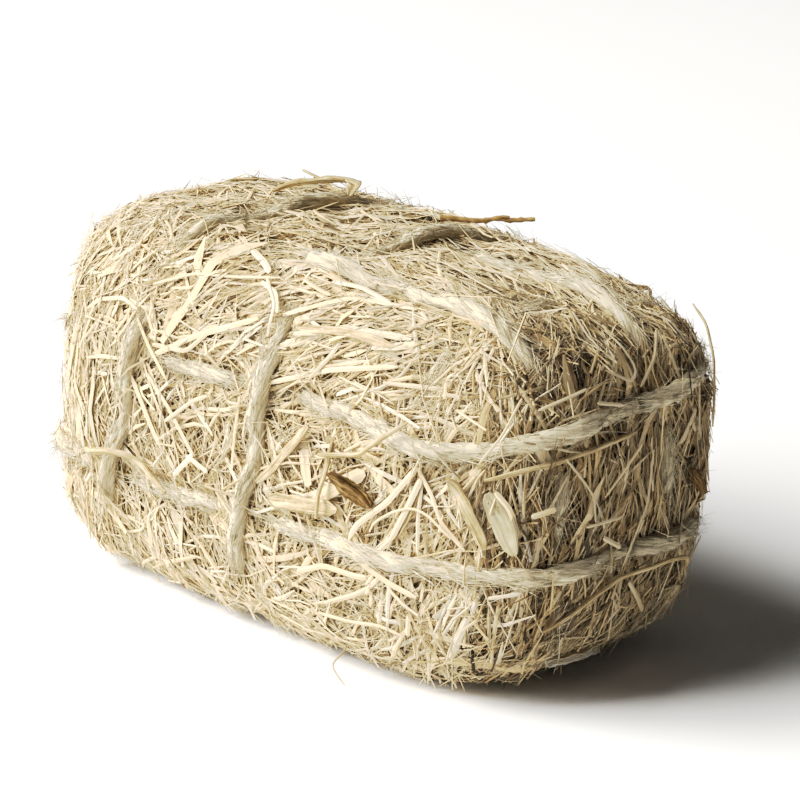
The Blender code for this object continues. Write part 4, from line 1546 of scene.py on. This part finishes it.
@dataclass(frozen=True)
class DryStrawSkin:
    """Skin of one large stalk: fine lengthwise ribs and stains."""

    name: str
    tones: Ramp
    ribs: float = 24.0
    roughness: float = 0.6
    glow: float = 0.0
    bump: tuple[float, float] = (0.8, 0.08 * MM)

    def build(self) -> bpy.types.Material:
        """Build the finish.

        Returns:
            The material.
        """
        mat, tree = new_material(self.name)
        uv = node(tree, "UVMap", {"uv_map": BAKE_MAP})
        rib_at = node(tree, "Mapping", {"Scale": (9.0, self.ribs, 1.0)}, {"Vector": uv})
        ribs = node(tree, "TexNoise", {"noise_dimensions": "2D", "Scale": 1.0, "Detail": 4.0,
                                       "Roughness": 0.65}, {"Vector": rib_at})
        stain_at = node(tree, "Mapping", {"Scale": (14.0, 3.0, 1.0)}, {"Vector": uv})
        stains = node(tree, "TexNoise", {"noise_dimensions": "2D", "Scale": 1.0, "Detail": 3.0,
                                         "Roughness": 0.7}, {"Vector": stain_at})
        both = node(tree, "Math", {"operation": "ADD", "use_clamp": True},
                    {0: respan(tree, ribs, NOISE_SPAN, (-0.05, 0.75)),
                     1: respan(tree, stains, NOISE_SPAN, (-0.15, 0.35))})
        colours = node(tree, "ValToRGB", links={0: both})
        self.tones.fill(colours.color_ramp)
        values = {"Roughness": self.roughness, "Specular IOR Level": 0.22}
        if self.glow > 0.0:
            # Light goes a little way into a thin leaf.
            values.update({"Subsurface Weight": self.glow, "Subsurface Scale": 1.0,
                           "Subsurface Radius": (0.6 * MM, 0.45 * MM, 0.25 * MM)})
        finish_shader(tree, colours.outputs[0], ribs, self.bump, values)
        return mat


SKINS = {
    Growth.SPLIT_STRAW: DryStrawSkin("pale_split_straw", Ramp((
        (0.0, "85704c"), (0.35, "b7a077"), (0.65, "cfbb93"), (1.0, "e3d5b6")))),
    Growth.LEAF: DryStrawSkin("thin_dry_leaf", Ramp((
        (0.0, "9c8f72"), (0.4, "b0a384"), (0.7, "c2b697"), (1.0, "d8cdb2"))), ribs=26.0, glow=0.3),
    Growth.PAPER: DryStrawSkin("papery_pale_husk", Ramp((
        (0.0, "a89b84"), (0.4, "cdc3b0"), (0.7, "e2dacb"), (1.0, "f1ece2"))), ribs=20.0, glow=0.3),
    Growth.BRACT: DryStrawSkin("brown_papery_husk", Ramp((
        (0.0, "4a3820"), (0.35, "80653b"), (0.65, "ac8f60"), (1.0, "d6bf94"))), roughness=0.7),
    Growth.TWIG: DryStrawSkin("tan_twig_bark", Ramp((
        (0.0, "7a5f3a"), (0.4, "a98a58"), (0.7, "c6aa76"), (1.0, "dcc79a"))), roughness=0.7),
}
# Roll in radians, share of the width and height in mm of a bract's leaves.
BRACT_LEAVES = ((0.0, 0.8, -0.1), (0.5, 0.45, 0.25), (-0.6, 0.4, 0.35), (0.15, 0.25, 0.55),
                (-0.2, 0.2, 0.7))


@dataclass
class LoosePiece:
    """Finer form of one prominent loose stalk, in the place of its node."""

    spec: LooseGrowth
    form: BaleForm
    rng: np.random.Generator
    step: float = 0.6 * MM
    strip_thickness: float = 0.22 * MM
    strip_wave: float = 0.12 * MM
    stem_flatness: float = 0.8
    stem_lumps: float = 0.08
    branch_width: float = 0.75
    SAMPLES_PER_MM2 = 30.0
    SLAB, REACH, FEWEST_NEAR = 0.8 * MM, 4.0 * MM, 5
    EDGES = 8
    # Section of a strip: shares of its half width and of its thickness.
    STRIP_ACROSS = np.array([-1.0, -0.4, 0.4, 1.0, 1.0, 0.4, -0.4, -1.0])
    STRIP_OVER = np.array([0.5, 0.5, 0.5, 0.5, -0.5, -0.5, -0.5, -0.5])

    def traced(self, route: Sequence[tuple[float, float, float]]) -> Array:
        """Follow the node along a route.

        Args:
            route: its rough route in mm.

        Returns:
            Its centre line.
        """
        line = softened(resampled(self.form.route(route), 0.8 * MM, False), False, 2)
        samples = skin_samples(self.spec.name, self.SAMPLES_PER_MM2, self.rng)
        for _ in range(2):
            line = centred(line, samples, False, self.SLAB, self.REACH, self.FEWEST_NEAR)
        return resampled(line, self.step, False)

    def profile(self, share: Array) -> Array:
        """Give the width along the piece.

        Args:
            share: places along it, 0 to 1.

        Returns:
            A share of its full width for each.
        """
        growth = self.spec.growth
        tips = np.clip(np.minimum(share, 1.0 - share) * 9.0, 0.0, 1.0)
        if growth is Growth.LEAF:
            bulge = np.sin(math.pi * np.clip(share * 0.8 + 0.12, 0.0, 1.0))
            return 0.25 + 0.75 * bulge * tips ** 0.5
        if growth in (Growth.BRACT, Growth.PAPER):
            ragged = 1.0 + self.rng.normal(0.0, 0.10, len(share))
            return (0.2 + 0.8 * np.sin(math.pi * share) ** 0.6) * ragged
        if growth is Growth.SPLIT_STRAW:
            ragged = 1.0 + 0.05 * np.sin(share * 17.0) + self.rng.normal(0.0, 0.03, len(share))
            return (0.35 + 0.65 * tips) * ragged
        if growth is Growth.TWIG:
            return 0.75 + 0.25 * np.cos(share * 26.0) ** 8 + 0.25 * (1.0 - share)
        return 0.55 + 0.45 * tips

    def section(self, share: Array, half: Array, turn: float) -> tuple[Array, Array]:
        """Give the section of a round stem or a curled strip.

        Args:
            share: places along it, 0 to 1.
            half: half its width at each.
            turn: its roll in radians.

        Returns:
            How far across and up each corner of each ring lies.
        """
        if self.spec.growth in (Growth.ROUND_STEM, Growth.TWIG, Growth.HAIR):
            angle = np.arange(self.EDGES) / self.EDGES * TAU
            lift = -np.sin(angle)[None] * half[:, None] * self.stem_flatness
            lift = lift * (1.0 + self.stem_lumps * self.rng.normal(0.0, 1.0, lift.shape))
            return np.cos(angle)[None] * half[:, None], lift
        spot = self.STRIP_ACROSS[None]
        wave = self.strip_wave * np.sin(share * 21.0 + turn * 3.0)[:, None]
        bowl = self.spec.curl * half[:, None] * (spot ** 2 - 0.4)
        lift = bowl + self.STRIP_OVER[None] * self.strip_thickness + wave * spot
        return spot * half[:, None], lift

    def blade(self, mesh: MeshArrays, line: Array, width: float, turn: float = 0.0,
              rise: float = 0.0) -> None:
        """Add a round stem or a curled strip along a line.

        Args:
            mesh: mesh it joins.
            line: centre line.
            width: full width.
            turn: roll about the line in radians.
            rise: height added along the normal.
        """
        _, normal = self.form.height_over(line)
        ahead = tangents(line, False)
        side = unit(np.cross(ahead, normal))
        up = np.cross(side, ahead)
        cos, sin = math.cos(turn), math.sin(turn)
        side, up = side * cos + up * sin, up * cos - side * sin
        line = line + normal * rise
        share = np.linspace(0.0, 1.0, len(line))
        across, lift = self.section(share, width / 2.0 * self.profile(share), turn)
        rings = line[:, None] + side[:, None] * across[..., None] + up[:, None] * lift[..., None]
        rings[..., 2] = np.maximum(rings[..., 2], STRAND_GAP)
        reach = share * (len(line) - 1) * self.step / (MAP_LENGTH_MM * MM)
        u = np.clip(reach, 0.0, 1.0) * 0.96 + 0.02
        v = 0.02 + np.arange(self.EDGES + 1) / self.EDGES * 0.96
        mesh.add_tube(rings, u, v)
        mesh.add_caps(rings, 0.3)

    def build(self, material: bpy.types.Material) -> bpy.types.Object:
        """Shape the piece.

        Args:
            material: its finish.

        Returns:
            The piece.
        """
        mesh = MeshArrays()
        line = self.traced(self.spec.route)
        width = self.spec.width_mm * MM
        if self.spec.growth in (Growth.BRACT, Growth.PAPER):
            for turn, size, rise in BRACT_LEAVES:
                self.blade(mesh, line, width * size, turn, rise * MM)
        else:
            self.blade(mesh, line, width)
        if self.spec.branch:
            self.blade(mesh, self.traced(self.spec.branch), width * self.branch_width)
        return mesh.build(self.spec.name.replace("_near", "") + "_dry", material)


@dataclass(frozen=True)
class Lamp:
    """One square soft light, by its place, size and watts."""

    name: str
    place: tuple[float, float, float]
    size: float
    watts: float


@dataclass
class Studio:
    """Pale floor, soft light and the camera."""

    middle: tuple[float, float]
    eye_mm: tuple[float, float, float] = (281.9, -265.65, 146.33)
    azimuth: float = 46.8
    elevation: float = 16.5
    lens_mm: float = 105.6
    sensor_mm: float = 36.0
    clip_start: float = 0.01
    shift: tuple[float, float] = (0.0476, 0.0136)
    floor_size: float = 6.0
    # A high key from the left, and a weaker and lower fill.
    lamps: tuple[Lamp, ...] = (Lamp("key", (-2.1, -2.35, 2.9), 3.0, 400.0),
                               Lamp("low_fill", (-2.2, -3.2, 0.9), 2.0, 92.0))
    lamp_colour: str = "fffefb"
    lamp_aim: tuple[float, float, float] = (0.0, 0.0, 0.03)
    room_strength: float = 0.05
    # Light in and light out: highlights roll off softly and deep shade stays deep.
    film: tuple[tuple[float, float], ...] = ((0.04, 0.03), (0.1, 0.086), (0.2, 0.205), (0.4, 0.45),
                                             (0.6, 0.61), (0.8, 0.71), (1.0, 0.83))

    def floor(self) -> bpy.types.Object:
        """Lay the pale floor.

        Returns:
            The floor.
        """
        bpy.ops.object.select_all(action="DESELECT")
        bpy.ops.mesh.primitive_plane_add(size=self.floor_size, location=(0.0, 0.0, 0.0))
        item = bpy.context.object
        item.name = "floor"
        # Matt white paper, so only the bale's shadow shows on it.
        mat, tree = new_material("white_paper_sweep")
        shader = tree.nodes["Principled BSDF"]
        shader.inputs["Base Color"].default_value = linear("fafafa")
        shader.inputs["Roughness"].default_value = 0.9
        shader.inputs["Specular IOR Level"].default_value = 0.0
        item.data.materials.append(mat)
        return item

    def light(self, lamp: Lamp) -> None:
        """Hang a light that looks at the bale.

        Args:
            lamp: which one.
        """
        data = bpy.data.lights.new(lamp.name, "AREA")
        data.size = lamp.size
        data.energy = lamp.watts
        data.color = linear(self.lamp_colour)[:3]
        item = bpy.data.objects.new(lamp.name, data)
        item.location = lamp.place
        aim = Vector(self.lamp_aim) - Vector(lamp.place)
        item.rotation_euler = aim.to_track_quat("-Z", "Y").to_euler()
        bpy.context.scene.collection.objects.link(item)

    def room(self) -> None:
        """Put a weak white room round the bale."""
        world = bpy.data.worlds.new("white_room")
        world.use_nodes = True
        back = world.node_tree.nodes["Background"]
        back.inputs["Color"].default_value = linear("ffffff")
        back.inputs["Strength"].default_value = self.room_strength
        bpy.context.scene.world = world

    def expose(self) -> None:
        """Set the tone curve of the film."""
        view = bpy.context.scene.view_settings
        view.view_transform = "Standard"
        view.use_curve_mapping = True
        curve = view.curve_mapping.curves[3]
        curve.points[-1].location = self.film[-1]
        for place in self.film[:-1]:
            curve.points.new(*place)
        view.curve_mapping.update()

    def camera(self) -> None:
        """Add the camera at the viewing angle of the photograph."""
        a = math.radians(self.azimuth)
        e = math.radians(self.elevation)
        back = Vector((math.sin(a) * math.cos(e), -math.cos(a) * math.cos(e), math.sin(e)))
        data = bpy.data.cameras.new("camera")
        data.lens = self.lens_mm
        data.sensor_width = self.sensor_mm
        data.clip_start = self.clip_start
        data.shift_x, data.shift_y = self.shift
        item = bpy.data.objects.new("camera", data)
        item.location = Vector(self.eye_mm) * MM + Vector((*self.middle, 0.0))
        item.rotation_euler = back.to_track_quat("Z", "Y").to_euler()
        bpy.context.scene.collection.objects.link(item)
        bpy.context.scene.camera = item


# Name, edges round, cuts along, sizes of the two tips and flatness.
STALKS = (
    Stalk("fibre", 3, (0.5,), (0.6, 0.2)),
    Stalk("stem", 3, (0.5,), (0.8, 0.5)),
    Stalk("split", 3, (0.33, 0.67), (0.65, 0.25)),
    Stalk("blade", 4, (0.25, 0.5, 0.75), (0.6, 0.15), 0.5),
    Stalk("long", 4, tuple(k / 12.0 for k in range(1, 12)), (0.7, 0.4), 0.5),
    Stalk("hair", 3, (0.5,), (1.0, 0.3)),
)
BALE_MIDDLE = (-0.7 * MM, 1.35 * MM)
SINK_DEPTH = 1.5 * MM
TWINES = ("twine_girth_left", "twine_girth_middle", "twine_girth_right", "twine_around_lower",
          "twine_around_upper", "twine_lengthwise_back", "twine_lengthwise_front")


def dress(piece: bpy.types.Object, node_name: str) -> None:
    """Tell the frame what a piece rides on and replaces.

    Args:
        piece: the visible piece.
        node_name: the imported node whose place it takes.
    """
    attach(piece, "root")
    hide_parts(node_name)
    faces = sum(len(p.vertices) - 2 for p in piece.data.polygons)
    LOG.info("%s: %d triangles", piece.name, faces)


def main() -> None:
    """Build every sub-assembly in order."""
    logging.basicConfig(level=logging.INFO, format="%(name)s %(message)s")
    rng = np.random.default_rng(SEED)
    form = BaleForm(BALE_MIDDLE)
    hay = DryHay().build()
    jute = JuteFibre().build()
    heart = HayHeart(form).build(PaintedShadeHeart().build())
    dress(heart, "hay_body")
    stalks = {stalk.name: stalk.model() for stalk in STALKS}
    paths = [TwinePath(name, rng) for name in TWINES]
    for path in paths:
        path.sink(form, SINK_DEPTH)
        LOG.info("%s is %.0f mm long", path.name, path.length / MM)
    twines = TwineField(paths, form)
    for side in Side:
        cover = HayCover(side, form, twines, stalks, rng).build(hay)
        dress(cover, "hay_body")
    for path in paths:
        piece = Twine(path, form, stalks["hair"], rng).build(jute)
        dress(piece, path.name)
    skins = {growth: skin.build() for growth, skin in SKINS.items()}
    for spec in LOOSE:
        skin = skins.get(spec.growth, skins[Growth.SPLIT_STRAW])
        piece = LoosePiece(spec, form, rng).build(skin)
        dress(piece, spec.name)
    studio = Studio(form.middle)
    floor = studio.floor()
    for lamp in studio.lamps:
        studio.light(lamp)
    studio.room()
    studio.expose()
    studio.camera()


if __name__ == "__main__":
    main()
